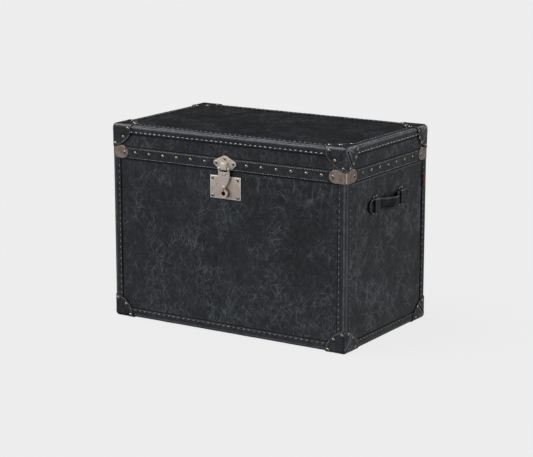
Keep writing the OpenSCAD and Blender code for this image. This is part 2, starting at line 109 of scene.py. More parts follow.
def piece(name, solids, material, body, slot, replaces=(), sharp=40, weld=False):
    """One Blender object made of closed solids, riding on a body. A solid is (points, faces) and may
    have a shade for each point, from -1, dark: painted shade with some dye, to 1, pale: painted highlight
    with some rubbed wear."""
    verts, faces, shades, start = [], [], [], 0
    for points, polygons, *shade in solids:
        verts.append(np.asarray(points, float))
        faces += [tuple(start + i for i in f) for f in polygons]
        shades.append(np.ravel(shade[0]) if shade else np.zeros(len(points)))
        start += len(points)
    mesh = bpy.data.meshes.new(name)
    mesh.from_pydata(np.concatenate(verts).tolist(), [], faces)
    mesh.attributes.new("shade", "FLOAT", "POINT").data.foreach_set("value", np.concatenate(shades))
    work = bmesh.new()
    work.from_mesh(mesh)
    if weld:
        bmesh.ops.remove_doubles(work, verts=work.verts, dist=2e-6)
    bmesh.ops.recalc_face_normals(work, faces=work.faces)
    work.to_mesh(mesh)
    work.free()
    mesh.polygons.foreach_set("use_smooth", [True] * len(mesh.polygons))
    mesh.set_sharp_from_angle(angle=math.radians(sharp))
    mesh.materials.append(material)
    obj = add_object(name, mesh)
    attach(obj, body)
    if replaces:
        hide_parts(*replaces)
    return obj


def dress(node, material):
    """Gives a CAD node its material."""
    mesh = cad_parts[node].data
    mesh.materials.clear()
    mesh.materials.append(material)


def ripple(points, seed, size, height):
    """Smooth waves over points, the same every run: size is their rough length."""
    rng = random.Random(seed)
    total = np.zeros(len(points))
    for k in range(7):
        way = np.array([rng.gauss(0, 1) for _ in range(3)])
        way *= 2 * math.pi / (size * rng.uniform(0.6, 1.8)) / np.linalg.norm(way)
        total += np.sin(points @ way + rng.uniform(0, 2 * math.pi))
    return height * total / 3.5


def smooth_step(x, start, end):
    t = np.clip((x - start) / (end - start), 0, 1)
    return t * t * (3 - 2 * t)


def bump_at(x, centre, width):
    return np.exp(-((x - centre) / width) ** 2)


# ---------------------------------------------------------------- nails, read from the frame

def connected(work):
    """The points of each separate solid in a bmesh."""
    seen, groups = set(), []
    for first in work.verts:
        if first.index in seen:
            continue
        stack, points = [first], []
        seen.add(first.index)
        while stack:
            v = stack.pop()
            points.append(v.co[:])
            for e in v.link_edges:
                o = e.other_vert(v)
                if o.index not in seen:
                    seen.add(o.index)
                    stack.append(o)
        groups.append(np.array(points))
    return groups


def islands(node):
    """(centre of the flat base, outward direction, radius, height) of each nail in a CAD node."""
    work = bmesh.new()
    work.from_mesh(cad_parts[node].data)
    bmesh.ops.remove_doubles(work, verts=work.verts, dist=1e-6)
    work.verts.ensure_lookup_table()
    found = []
    for points in connected(work):
        lowest, highest = points.min(axis=0), points.max(axis=0)
        extent = highest - lowest
        axis = int(np.argmin(extent))
        # the base is the end with the wider ring of points
        ends = [np.abs(points[:, axis] - end[axis]) < extent[axis] * 0.05 for end in (lowest, highest)]
        spread = [np.ptp(np.delete(points[e], axis, 1), axis=0).max() for e in ends]
        sign = 1.0 if spread[0] > spread[1] else -1.0
        base = (lowest + highest) / 2
        base[axis] = lowest[axis] if sign > 0 else highest[axis]
        out = np.zeros(3)
        out[axis] = sign
        found.append((base, out, float(np.delete(extent, axis).max() / 2), float(extent[axis])))
    work.free()
    return found


NAIL_NODES = ("case_nails", "lid_nails")
NAILS = {n: islands(n) for n in NAIL_NODES + ("lock_nails", "hasp_plate_nails", "handle_rivets")}
PRESS_POINTS = np.array([n[0] for k in NAIL_NODES + ("handle_rivets",) for n in NAILS[k]])


def pressed(points, depth=0.55 * MM, reach=7 * MM):
    """How far the leather is pressed in at each point by the nails near it."""
    total = np.zeros(len(points))
    for nail in PRESS_POINTS:
        gap = ((points - nail) ** 2).sum(axis=1)
        near = gap < (3 * reach) ** 2
        total[near] += depth * np.exp(-gap[near] / reach ** 2)
    return np.minimum(total, depth * 1.2)


def lathe(profile, base, out, steps=20, tilt=(0.0, 0.0)):
    """Turns (radius, height) pairs about the direction out, standing at base."""
    out = Vector(out)
    side = Vector((0, 0, 1)) if abs(out.z) < 0.9 else Vector((1, 0, 0))
    u = out.cross(side).normalized()
    v = out.cross(u).normalized()
    axis = (out + u * tilt[0] + v * tilt[1]).normalized()
    u = (u - axis * u.dot(axis)).normalized()
    v = axis.cross(u)
    axis, u, v, base = (np.array(x) for x in (axis, u, v, base))
    turn = np.linspace(0, 2 * math.pi, steps, endpoint=False)
    ring = np.outer(np.cos(turn), u) + np.outer(np.sin(turn), v)
    return tube([base + axis * h + ring * r for r, h in profile])


def dome_nails(name, node, spots, body, material, slot):
    """Domed nail heads with a rolled rim, each seated at a slightly different angle."""
    rng = random.Random(name)
    solids = []
    for base, out, radius, height in spots:
        h = height * rng.uniform(0.92, 1.02)
        r = radius * rng.uniform(0.96, 1.02)
        dome = [(r * math.cos(a), h * math.sin(a)) for a in np.radians([88, 72, 56, 40, 26, 13, 4])]
        skirt = [(r, -0.15 * MM), (r * 0.97, -0.5 * MM), (r * 0.6, -1.7 * MM), (0.3 * MM, -1.8 * MM)]
        tilt = (rng.uniform(-0.035, 0.035), rng.uniform(-0.035, 0.035))
        # darker towards the head's rim and under it: painted shade where the head meets the leather, with
        # some patina
        patina_and_shade = np.repeat([0] + list(np.linspace(0, -0.1, 4)) + [-0.3, -0.6, -0.85] + [-1] * 4, 18)
        solids.append((*lathe([(0.02 * r, h)] + dome[::-1] + skirt, base, out, 18, tilt), patina_and_shade))
    return piece(name, solids, material, body, slot, (node,), sharp=60)


# ---------------------------------------------------------------- leather panels and strips

def panel(origin, u, v, out, width, height, thick, step, seed, wave=0.4 * MM):
    """A leather sheet glued to a board: closed, with slow waves in its outer face."""
    origin, u, v, out = (np.array(x, float) for x in (origin, u, v, out))
    us = np.linspace(0, width, max(int(width / step), 2) + 1)
    vs = np.linspace(0, height, max(int(height / step), 2) + 1)
    rings = []
    for a in us:
        face = origin + a * u + np.outer(vs, v)
        lift = ripple(face, seed, 0.16, wave) + ripple(face, seed + 1, 0.05, wave * 0.35) - wave
        lift -= pressed(face)
        outer = face + np.outer(lift, out)
        back = face[[-1, 0]] - out * thick
        rings.append(np.concatenate([outer, back]))
    return tube(rings)


def strip_profile(width, rows):
    """Distances across a flat strip, close together at its edges and at the stitch rows."""
    marks = {0.0, 0.5 * MM, 1.2 * MM, 2.2 * MM, width, width - 0.5 * MM, width - 1.2 * MM, width - 2.2 * MM}
    for row in rows:
        marks |= {row + d * MM for d in (-1.8, -1.1, -0.5, 0, 0.5, 1.1, 1.8)}
    marks |= set(np.linspace(3 * MM, width - 3 * MM, int(width / (2.5 * MM))))
    marks = sorted(m for m in marks if 0 <= m <= width)
    return np.array([m for i, m in enumerate(marks) if i == 0 or m - marks[i - 1] > 0.2 * MM])


def strip_lift(e, s, pitch, rows):
    """Height of a strip's face: a rolled free edge, and a groove and puckers at each row of stitches."""
    lift = -0.9 * MM * np.exp(-(e / (0.8 * MM)) ** 2)
    for row in rows:
        hole = 0.5 - 0.5 * np.cos(2 * math.pi * s / pitch)
        lift = lift - 0.45 * MM * bump_at(e, row, 1.1 * MM) - 0.4 * MM * hole * bump_at(e, row, 3.2 * MM)
    return lift


def strip_painted_light(e, rows):
    """Painted light across a strip: painted shade at its free edge, with some edge dye, a painted highlight
    line beside it, and painted shade in its stitch rows.
    """
    shade = 0.75 * bump_at(e, 2.1 * MM, 1.0 * MM) - 1.2 * np.exp(-(e / (1.0 * MM)) ** 2)
    for row in rows:
        shade = shade - 0.5 * bump_at(e, row, 1.3 * MM)
    return np.clip(shade, -1, 1)


def edge_binding(start, end, in_a, in_b, leg_a, leg_b, thick, radius, pitch, seed):
    """A strip folded over a straight edge of the trunk. start and end lie on the sharp edge,
    in_a and in_b point inwards along the two faces, and the legs are how far it reaches."""
    start, end, in_a, in_b = (np.array(x, float) for x in (start, end, in_a, in_b))
    length = float(np.linalg.norm(end - start))
    along = (end - start) / length
    local, normal, free = [], [], []
    for leg, flip in ((leg_a, False), (leg_b, True)):
        flat = strip_profile(leg, (STITCH_IN,))
        flat = flat[flat <= leg - radius]
        legs = [((leg - e, 0.0), (0.0, -1.0), e) for e in flat]
        if flip:
            legs = [((p[1], p[0]), (n[1], n[0]), e) for p, n, e in reversed(legs)]
            arc = [math.radians(x) for x in np.linspace(8, 82, 8)]
            middle = [((radius - radius * math.sin(t), radius - radius * math.cos(t)),
                       (-math.sin(t), -math.cos(t)), leg) for t in arc]
            legs = middle + legs
        for p, n, e in legs:
            local.append(p)
            normal.append(n)
            free.append(e)
    local, normal, free = np.array(local), np.array(normal), np.array(free)
    axes = np.array([in_a, in_b])
    inner = np.array([(thick, leg_b), (thick, thick), (leg_a, thick)]) @ axes
    rings = []
    for s in np.linspace(0, length, max(int(length / (2.0 * MM)), 2) + 1):
        face = start + s * along + local @ axes
        lift = strip_lift(free, s, pitch, (STITCH_IN,)) + ripple(face, seed, 0.06, 0.25 * MM) - 0.22 * MM
        lift -= pressed(face)
        outer = face + (normal * lift[:, None]) @ axes
        rings.append(np.concatenate([outer, start + s * along + inner]))
    # painted highlight along the folded round edge, the strip's painted edge shade and highlight, and painted
    # shade on the inner corner points, which darkens the side walls
    folded = 0.62 * (np.abs(normal).min(axis=1) > 0)
    shade = np.tile(np.concatenate([strip_painted_light(free, (STITCH_IN,)) + folded, [-1, -1, -1]]), len(rings))
    lines = [(start + (leg_a - STITCH_IN) * in_a, along, -in_b, length),
             (start + (leg_b - STITCH_IN) * in_b, along, -in_a, length)]
    return (*tube(rings), shade), lines


def stitches(lines, pitch, long, radius, seed, sink=0.55 * MM, skip=None):
    """Thread stitches along lines, each one rising out of its hole and going down into the next."""
    rng = random.Random(seed)
    spans = np.array([-1, -0.88, -0.55, 0, 0.55, 0.88, 1])
    swell = np.array([0.35, 0.8, 1, 1.05, 1, 0.8, 0.35])
    rise = np.array([-1.1, -0.35, 0.3, 0.5, 0.3, -0.35, -1.1]) * radius
    solids = []
    for origin, along, out, length in lines:
        across = np.cross(along, out)
        count = int(length / pitch)
        for k in range(count):
            s = (k + 0.5) * pitch
            middle = origin + along * (s + rng.uniform(-0.03, 0.03) * pitch)
            if skip and skip(middle):
                continue
            turn = rng.uniform(-0.06, 0.06)
            way = along * math.cos(turn) + across * math.sin(turn)
            fat = radius * rng.uniform(0.9, 1.08)
            rings = []
            for t, w, h in zip(spans, swell, rise):
                centre = middle + way * (t * long / 2) + out * (h - sink + radius * 0.55)
                rings.append([centre + fat * w * (math.cos(a) * np.cross(way, out) + math.sin(a) * out)
                              for a in np.linspace(0, 2 * math.pi, 6, endpoint=False)])
            solids.append(tube(rings))
    return solids


# ---------------------------------------------------------------- materials

def toned(colour, share):
    """A colour made darker or paler."""
    return [min(1.0, c * share) for c in colour]


class Nodes:
    """Builds one material. Its textures lie in the trunk's own coordinates, in metres."""

    def __init__(self, name, **sockets):
        self.material = bpy.data.materials.new(name)
        self.material.use_nodes = True
        self.tree = self.material.node_tree
        self.shader = self.tree.nodes["Principled BSDF"]
        self.at = self.add("ShaderNodeTexCoord").outputs["Object"]
        for socket, value in sockets.items():
            self.shader.inputs[socket.replace("_", " ")].default_value = value

    def add(self, kind, **settings):
        node = self.tree.nodes.new(kind)
        for key, value in settings.items():
            setattr(node, key, value)
        return node

    def feed(self, source, socket):
        if isinstance(source, bpy.types.NodeSocket):
            self.tree.links.new(source, socket)
        else:
            socket.default_value = source

    def place(self, turn=(0, 0, 0), stretch=(1, 1, 1), shift=(0, 0, 0), at=None):
        """Coordinates turned (degrees) and then squeezed, so that a texture gets longer by stretch."""
        node = self.add("ShaderNodeMapping", vector_type="TEXTURE")
        self.feed(at or self.at, node.inputs["Vector"])
        node.inputs["Rotation"].default_value = [math.radians(a) for a in turn]
        node.inputs["Scale"].default_value = stretch
        node.inputs["Location"].default_value = shift
        return node.outputs["Vector"]

    def noise(self, scale, detail=4.0, rough=0.5, distort=0.0, at=None):
        node = self.add("ShaderNodeTexNoise")
        self.feed(at or self.at, node.inputs["Vector"])
        values = {"Scale": scale, "Detail": detail, "Roughness": rough, "Distortion": distort}
        for socket, value in values.items():
            node.inputs[socket].default_value = value
        return node.outputs["Fac"]

    def cells(self, scale, feature="F1", at=None):
        node = self.add("ShaderNodeTexVoronoi", feature=feature)
        self.feed(at or self.at, node.inputs["Vector"])
        node.inputs["Scale"].default_value = scale
        return node.outputs["Distance"]

    def waves(self, scale, direction, at=None, distort=0.0):
        node = self.add("ShaderNodeTexWave", bands_direction=direction)
        self.feed(at or self.at, node.inputs["Vector"])
        node.inputs["Scale"].default_value = scale
        node.inputs["Distortion"].default_value = distort
        return node.outputs["Fac"]

    def math(self, operation, a, b=0.0):
        node = self.add("ShaderNodeMath", operation=operation)
        self.feed(a, node.inputs[0])
        self.feed(b, node.inputs[1])
        return node.outputs[0]

    def times(self, a, b):
        return self.math("MULTIPLY", a, b)

    def plus(self, a, b):
        return self.math("ADD", a, b)

    def minus(self, a, b):
        return self.math("SUBTRACT", a, b)

    def size(self, a):
        return self.math("ABSOLUTE", a)

    def span(self, value, low, high, to_low=0.0, to_high=1.0):
        node = self.add("ShaderNodeMapRange", interpolation_type="SMOOTHSTEP")
        for socket, x in zip(node.inputs, (value, low, high, to_low, to_high)):
            self.feed(x, socket)
        return node.outputs["Result"]

    def mix(self, share, a, b):
        node = self.add("ShaderNodeMix", data_type="RGBA")
        colours = [s for s in node.inputs if s.type == "RGBA"]
        self.feed(share, node.inputs[0])
        for source, socket in ((a, colours[0]), (b, colours[1])):
            self.feed(source if isinstance(source, bpy.types.NodeSocket) else (*source, 1.0), socket)
        return [s for s in node.outputs if s.type == "RGBA"][0]

    def bump(self, height, distance, strength=1.0, under=None):
        node = self.add("ShaderNodeBump")
        node.inputs["Strength"].default_value = strength
        node.inputs["Distance"].default_value = distance
        self.feed(height, node.inputs["Height"])
        if under:
            self.feed(under, node.inputs["Normal"])
        return node.outputs["Normal"]

    def attribute(self, name):
        return self.add("ShaderNodeAttribute", attribute_name=name).outputs["Fac"]

    def xyz(self, vector):
        node = self.add("ShaderNodeSeparateXYZ")
        self.feed(vector, node.inputs[0])
        return node.outputs[0], node.outputs[1], node.outputs[2]

    def to_edge(self):
        """Distance from the nearest straight edge of the trunk, in metres."""
        x, y, z = self.xyz(self.at)
        x = self.minus(HALF_W, self.size(x))
        y = self.minus(HALF_D, self.size(y))
        z = self.minus(TOP / 2, self.size(self.minus(z, TOP / 2)))
        nearest, other = self.math("MINIMUM", x, y), self.math("MAXIMUM", x, y)
        return self.math("MAXIMUM", nearest, self.math("MINIMUM", other, z))

    def unfolded(self):
        """Coordinates laid flat, (along, up) on a wall and (x, y) on a level face; and how much the
        surface is level, and how much it faces an end of the trunk."""
        x, y, z = self.xyz(self.at)
        facing = self.xyz(self.add("ShaderNodeTexCoord").outputs["Normal"])
        level = self.span(self.size(facing[2]), 0.66, 0.74)
        side = self.span(self.size(facing[0]), 0.66, 0.74)
        flat = self.add("ShaderNodeCombineXYZ")
        spread = self.minus(self.minus(1.0, level), self.times(side, 0.3))
        along = self.plus(x, self.times(y, spread))
        up = self.plus(z, self.times(self.minus(y, z), level))
        self.feed(along, flat.inputs[0])
        self.feed(up, flat.inputs[1])
        return flat.outputs[0], level, side

    def done(self, colour, roughness=None, normal=None):
        self.feed(colour, self.shader.inputs["Base Color"])
        if roughness is not None:
            self.feed(roughness, self.shader.inputs["Roughness"])
        if normal is not None:
            self.feed(normal, self.shader.inputs["Normal"])
        return self.material


# Lean of each layer of scratches on a wall and on a level face, and its cell size, in degrees and mm.
SCRATCHES = (
    (62, 4, 52), (-58, -9, 46), (84, 14, 38), (-70, 7, 44), (40, -16, 34), (100, -4, 30),
    (70, 2, 27), (-48, 10, 30), (20, -22, 26), (56, 6, 20), (-80, -12, 21), (-20, 18, 32),
)


def scratches(n, flat, level, layer):
    """One layer of short, slightly bent pale scratches, one in each cell of a random net."""
    upright, lying, cell = SCRATCHES[layer]
    at = n.place(shift=(0.37 * layer + 0.11, 0.71 * layer, 0), at=flat)
    net = n.add("ShaderNodeTexVoronoi", voronoi_dimensions="2D")
    n.feed(at, net.inputs["Vector"])
    net.inputs["Scale"].default_value = 1 / (cell * MM)
    offset = n.add("ShaderNodeVectorMath", operation="SUBTRACT")
    n.feed(at, offset.inputs[0])
    n.feed(net.outputs["Position"], offset.inputs[1])
    dx, dy, _ = n.xyz(offset.outputs[0])
    chance = n.add("ShaderNodeSeparateColor")
    n.feed(net.outputs["Color"], chance.inputs[0])
    lean = n.plus(math.radians(upright), n.times(level, math.radians(lying - upright)))
    lean = n.plus(lean, n.times(n.minus(chance.outputs[0], 0.5), 1.3))
    cos, sin = n.math("COSINE", lean), n.math("SINE", lean)
    along = n.plus(n.times(dx, cos), n.times(dy, sin))
    across = n.minus(n.times(dy, cos), n.times(dx, sin))
    bend = n.times(n.minus(chance.outputs[1], 0.5), 16.0)
    across = n.plus(across, n.times(n.times(along, along), bend))
    line = n.span(n.size(across), 1.1 * MM, 0.1 * MM)
    ends = n.span(n.size(along), 0.6 * cell * MM, 0.12 * cell * MM)
    strength = n.span(chance.outputs[2], 0.1, 1.0)
    return n.times(n.times(line, ends), strength)


def seam_shade_and_wear(n, colour, dark, pale, edge, side, patchy):
    """Painted shade beside the bindings, at the split, above the band and round the lock plate; and a worn
    line on the trunk's ends, where the lid's edge rubs."""
    # painted shade beside the bindings
    gap = n.size(n.minus(edge, TRIM_W + 1.4 * MM))
    colour = n.mix(n.span(gap, 2.8 * MM, 1.2 * MM), colour, toned(dark, 0.12))
    x, y, z = n.xyz(n.at)
    # painted shade at the split and above the band
    for level_z in (SPLIT - 1.6 * MM, BAND_TOP + 1.4 * MM):
        gap = n.size(n.minus(z, level_z))
        colour = n.mix(n.span(gap, 3.2 * MM, 1.4 * MM), colour, toned(dark, 0.12))
    gap = n.size(n.minus(z, SPLIT - 5.4 * MM))
    worn = n.times(n.times(n.span(gap, 1.9 * MM, 0.6 * MM), side), patchy)
    colour = n.mix(n.times(worn, 0.75), colour, pale)
    plate_low, plate_high = low("lock_plate"), high("lock_plate")
    wide = n.minus(n.size(x), plate_high[0])
    tall = n.size(n.minus(z, (plate_low[2] + plate_high[2]) / 2))
    tall = n.minus(tall, (plate_high[2] - plate_low[2]) / 2)
    front = n.span(y, 0.0, -0.1)
    # painted shadow round the lock plate, on the front only
    grime = n.times(n.span(n.math("MAXIMUM", wide, tall), 3.6 * MM, 1.0 * MM), front)
    colour = n.mix(grime, colour, toned(dark, 0.15))
    return colour


def leather(name, dark, pale, layers=12, amount=1.0, wear=0.5, gloss=0.0, seams=False, shine=0.34):
    """Waxed, pull-up leather: clouded, with pale scratches, rubbed edges and a fine pebbled grain."""
    n = Nodes(name, Specular_IOR_Level=shine)
    cloud = n.noise(5.0, 5.0, 0.6, 0.5)
    mottle = n.noise(55.0, 5.0, 0.68, 0.4)
    colour = n.mix(n.span(cloud, 0.28, 0.72), toned(dark, 0.62), toned(dark, 1.25))
    tint = toned(dark, 2.0)
    colour = n.mix(n.times(n.span(mottle, 0.42, 0.78), 0.6), colour, tint)
    flat, level, side = n.unfolded()
    scuffs = scratches(n, flat, level, 0)
    for layer in range(1, layers):
        scuffs = n.plus(scuffs, scratches(n, flat, level, layer))
    patches = n.span(n.noise(9.0, 5.0, 0.66, 0.5, n.place(shift=(3.1, 1.7, 5.2))), 0.38, 0.68, 0.16, 1.0)
    haze = n.times(n.span(mottle, 0.38, 0.72), 0.36)
    scuffs = n.times(n.plus(scuffs, haze), patches)
    scuffs = n.times(scuffs, n.plus(n.times(side, 0.7), 1.0))
    scuffs = n.times(scuffs, n.minus(1.0, n.times(level, 0.35)))
    # painted shade: level faces, the top and the underside, made darker
    colour = n.mix(n.times(level, 0.4), colour, toned(dark, 0.4))
    faint = n.times(n.math("MINIMUM", scuffs, 1.0), amount)
    colour = n.mix(faint, colour, pale)
    edge = n.to_edge()
    rubbed = n.times(n.span(edge, 9 * MM, 2 * MM), n.span(mottle, 0.3, 0.7))
    colour = n.mix(n.times(rubbed, wear), colour, pale)
    # the shade attribute paints light: positive values a painted highlight in the pale colour, negative
    # values painted shade near black
    shade = n.attribute("shade")
    patchy = n.span(mottle, 0.25, 0.65, 0.45, 1.0)
    colour = n.mix(n.times(n.math("MAXIMUM", shade, 0.0), patchy), colour, pale)
    colour = n.mix(n.math("MAXIMUM", n.times(shade, -1.0), 0.0), colour, toned(dark, 0.1))
    if seams:
        colour = seam_shade_and_wear(n, colour, dark, pale, edge, side, patchy)
    pebbles = n.plus(n.cells(900.0, "SMOOTH_F1"), n.noise(1500.0, 2.0))
    normal = n.bump(mottle, 0.5 * MM, 0.6)
    normal = n.bump(pebbles, 0.16 * MM, 0.7, normal)
    rough = n.span(n.plus(n.times(faint, 0.6), mottle), 0.3, 1.1, 0.44 - gloss, 0.6 - gloss)
    return n.done(colour, rough, normal)


def metal(name, base, stain, rough=0.34, stained=0.5, scale=60.0, dent=0.25 * MM):
    """Old plated metal: brushed, dulled and stained in patches, with painted shade and painted highlights
    from the shade attribute.
    """
    n = Nodes(name, Metallic=1.0)
    patches = n.noise(scale, 6.0, 0.65, 0.7)
    specks = n.noise(scale * 12, 3.0, 0.6)
    colour = n.mix(n.times(n.span(patches, 0.42, 0.72), stained), base, stain)
    colour = n.mix(n.times(n.span(specks, 0.56, 0.76), stained * 0.6), colour, stain)
    lines = n.noise(300.0, 3.0, 0.6, 0.2, n.place((20, 35, 0), (1, 1, 9)))
    rough = n.span(n.plus(patches, n.times(lines, 0.6)), 0.4, 1.2, rough - 0.08, rough + 0.16)
    # painted highlight where the shade attribute is positive, painted shade where it is negative
    shade = n.attribute("shade")
    colour = n.mix(n.math("MAXIMUM", shade, 0.0), colour, toned(base, 1.6))
    colour = n.mix(n.math("MAXIMUM", n.times(shade, -1.0), 0.0), colour, toned(stain, 0.06))
    normal = n.bump(patches, dent, 0.5)
    normal = n.bump(n.plus(lines, specks), 0.04 * MM, 0.6, normal)
    return n.done(colour, rough, normal)


def thread_material(name, base, dirt):
    """Waxed linen thread: twisted strands, darker where it is dirty."""
    n = Nodes(name, Sheen_Weight=0.2, Specular_IOR_Level=0.25)
    strands = n.waves(900.0, "DIAGONAL", distort=1.0)
    grime = n.noise(70.0, 3.0, 0.6)
    colour = n.mix(n.span(grime, 0.42, 0.7), base, dirt)
    colour = n.mix(n.times(strands, 0.35), colour, toned(base, 0.55))
    return n.done(colour, n.span(grime, 0.3, 0.7, 0.6, 0.85), n.bump(strands, 0.25 * MM, 0.8))


def plywood(name, layers):
    """Birch plywood, its layers stacked along one axis: pale face grain and darker glue lines."""
    n = Nodes(name, Specular_IOR_Level=0.3)
    through = n.xyz(n.at)["XYZ".index(layers)]
    step = n.math("FRACT", n.math("DIVIDE", n.size(through), 1.8 * MM))
    glue = n.span(n.size(n.minus(step, 0.5)), 0.36, 0.5)
    ply = n.span(step, 0.45, 0.55)
    grain = n.noise(160.0, 5.0, 0.6, 0.4, n.place((0, 90, 0), (1, 1, 14)))
    colour = n.mix(grain, (0.42, 0.28, 0.155), (0.6, 0.44, 0.27))
    colour = n.mix(n.times(ply, 0.35), colour, (0.3, 0.19, 0.1))
    colour = n.mix(n.times(glue, 0.8), colour, (0.12, 0.07, 0.04))
    return n.done(colour, n.span(grain, 0.2, 0.8, 0.5, 0.72), n.bump(grain, 0.2 * MM, 0.5))


def plain_wood(name):
    """Oiled beech for the rim's tongue, its grain running the same way on every rail."""
    n = Nodes(name, Specular_IOR_Level=0.35)
    rings = n.noise(26.0, 4.0, 0.55, 0.8, n.place((0, 90, 0), (1, 1, 10)))
    pores = n.noise(420.0, 3.0, 0.6, 0.0, n.place((0, 90, 0), (1, 1, 12)))
    colour = n.mix(n.span(rings, 0.3, 0.7), (0.27, 0.14, 0.065), (0.42, 0.25, 0.13))
    colour = n.mix(n.times(n.span(pores, 0.55, 0.75), 0.6), colour, (0.11, 0.05, 0.025))
    return n.done(colour, n.span(pores, 0.3, 0.7, 0.42, 0.6), n.bump(pores, 0.15 * MM, 0.6))


def cotton(name, base, shade):
    """Cotton twill for the lining: warp and weft, with slubs and soft colour changes."""
    n = Nodes(name, Sheen_Weight=0.3, Sheen_Roughness=0.6, Specular_IOR_Level=0.15)
    warp = n.times(n.waves(170.0, "X", distort=0.6), n.waves(170.0, "Y", distort=0.6))
    weft = n.waves(190.0, "Z", distort=0.8)
    weave = n.plus(warp, weft)
    slubs = n.noise(700.0, 2.0, 0.5, 0.0, n.place((0, 90, 0), (1, 1, 8)))
    cloud = n.noise(6.0, 4.0, 0.6, 0.5)
    colour = n.mix(n.span(cloud, 0.3, 0.7), base, shade)
    pale = toned(base, 1.5)
    colour = n.mix(n.times(n.span(slubs, 0.55, 0.75), 0.4), colour, pale)
    colour = n.mix(n.times(weave, 0.18), colour, toned(shade, 0.5))
    return n.done(colour, n.span(cloud, 0.2, 0.8, 0.82, 0.95), n.bump(weave, 0.18 * MM, 0.7))


def floor_paper():
    """Seamless pale backdrop paper."""
    n = Nodes("backdrop_paper", Specular_IOR_Level=0.0, Emission_Strength=0.805)
    n.shader.inputs["Emission Color"].default_value = (1, 1, 1, 1)
    fibre = n.noise(40.0, 3.0, 0.5)
    colour = n.mix(fibre, (0.036, 0.036, 0.036), (0.038, 0.038, 0.038))
    return n.done(colour, n.span(fibre, 0, 1, 0.9, 1.0))


INK = (0.0118, 0.0134, 0.0158)
SCUFF = (0.118, 0.13, 0.146)
case_hide = leather("case_hide", INK, SCUFF, seams=True)
# A darker, less shiny copy of case_hide for the lid's top: painted shade, the top darker than the walls
shaded_top_hide = leather("shaded_top_hide", toned(INK, 0.62), toned(SCUFF, 0.8), amount=0.8,
                   seams=True, shine=0.22)
# binding_hide and cap_hide have paler scuff colours, which are also the colours of their painted highlights
binding_hide = leather("binding_hide", toned(INK, 1.2), toned(SCUFF, 1.3), 5, 0.45, 0.6, 0.07)
cap_hide = leather("cap_hide", toned(INK, 1.15), toned(SCUFF, 2.1), 5, 0.3, 0.4, 0.08)
strap_hide = leather("strap_hide", toned(INK, 0.6), SCUFF, 3, 0.35, 0.0, 0.12)
tag_hide = leather("tag_hide", (0.16, 0.045, 0.032), (0.3, 0.12, 0.08), 3, 0.4, 0.0)
lock_plating = metal("lock_plating", (0.78, 0.685, 0.6), (0.36, 0.29, 0.24), 0.5, 0.5, 45.0)
hasp_plating = metal("hasp_plating", (0.8, 0.715, 0.64), (0.4, 0.33, 0.28), 0.56, 0.45, 45.0)
hinge_plating = metal("hinge_plating", (0.42, 0.39, 0.36), (0.2, 0.16, 0.13), 0.4, 0.5)
clamp_bronze = metal("clamp_bronze", (0.42, 0.345, 0.3), (0.2, 0.115, 0.075), 0.42, 0.85, 70.0, 0.5 * MM)
nail_bronze = metal("nail_bronze", (0.46, 0.375, 0.3), (0.13, 0.085, 0.06), 0.25, 0.6, 160.0, 0.1 * MM)
dark_steel = metal("dark_steel", (0.42, 0.39, 0.36), (0.08, 0.065, 0.055), 0.22, 0.6, 160.0, 0.1 * MM)
pin_metal = metal("pin_metal", (0.5, 0.48, 0.46), (0.25, 0.22, 0.2), 0.3, 0.4)
pale_thread = thread_material("pale_thread", (0.8, 0.77, 0.71), (0.5, 0.46, 0.41))
dull_thread = thread_material("dull_thread", (0.42, 0.39, 0.35), (0.16, 0.145, 0.13))
grey_thread = thread_material("grey_thread", (0.33, 0.34, 0.35), (0.13, 0.137, 0.145))
ply_x, ply_y, ply_z = (plywood("birch_ply_" + axis.lower(), axis) for axis in "XYZ")
beech = plain_wood("beech")
ticking = cotton("ticking", (0.3, 0.25, 0.19), (0.22, 0.18, 0.135))


# ---------------------------------------------------------------- leather covering

SKIN_SHORT, SKIN_GAP = 6.5 * MM, 0.5 * MM  # how far a sheet stops short of an edge, and of the split


def level_sheet(z, up, step, seed):
    """The leather on the trunk's top (up is 1) or underside (-1)."""
    x, y = SKIN_X - SKIN_SHORT, SKIN_Y - SKIN_SHORT
    return panel((-x, -y, z), (1, 0, 0), (0, 1, 0), (0, 0, up), 2 * x, 2 * y, SKIN_T, step, seed)


def wall_sheets(low_z, high_z, steps, seed):
    """The leather on the front, back, left and right, between two heights."""
    x, y = SKIN_X - SKIN_SHORT, SKIN_Y - SKIN_SHORT
    walls = (
        ((-x, -SKIN_Y), (1, 0, 0), (0, -1, 0), 2 * x),
        ((-x, SKIN_Y), (1, 0, 0), (0, 1, 0), 2 * x),
        ((-SKIN_X, -y), (0, 1, 0), (-1, 0, 0), 2 * y),
        ((SKIN_X, -y), (0, 1, 0), (1, 0, 0), 2 * y),
    )
    sheets = []
    for k, (start, along, out, width) in enumerate(walls):
        sheets.append(panel((*start, low_z), along, (0, 0, 1), out, width, high_z - low_z,
                            SKIN_T, steps[k] * MM, seed + 3 * k))
    return sheets


def cover_case():
    """The five leather sheets glued over the case's boards."""
    sheets = wall_sheets(SKIN_LOW + SKIN_SHORT, SPLIT - SKIN_GAP, (7, 9, 7, 7), 1)
    sheets.append(level_sheet(SKIN_LOW, -1, 12 * MM, 13))
    for place, sheet in zip(("front", "back", "left", "right", "bottom"), sheets):
        node = place + "_skin"
        piece("hide_" + node, [sheet], case_hide, "case", "case_leather", (node,))


def cover_lid():
    """The lid's top sheet and the four narrow sheets round its sides."""
    top = level_sheet(SKIN_TOP, 1, 7 * MM, 16)
    piece("hide_lid_top", [top], shaded_top_hide, "lid", "case_leather", ("lid_top_skin",))
    sides = wall_sheets(SPLIT + SKIN_GAP, SKIN_TOP - SKIN_SHORT, (5, 8, 5, 5), 19)
    piece("hide_lid_sides", sides, case_hide, "lid", "case_leather", ("lid_side_skins",))


BINDING_PITCH, TRIM_PITCH, BAND_PITCH = 15.5 * MM, 16.5 * MM, 8 * MM
UNDER_CAP = 26 * MM


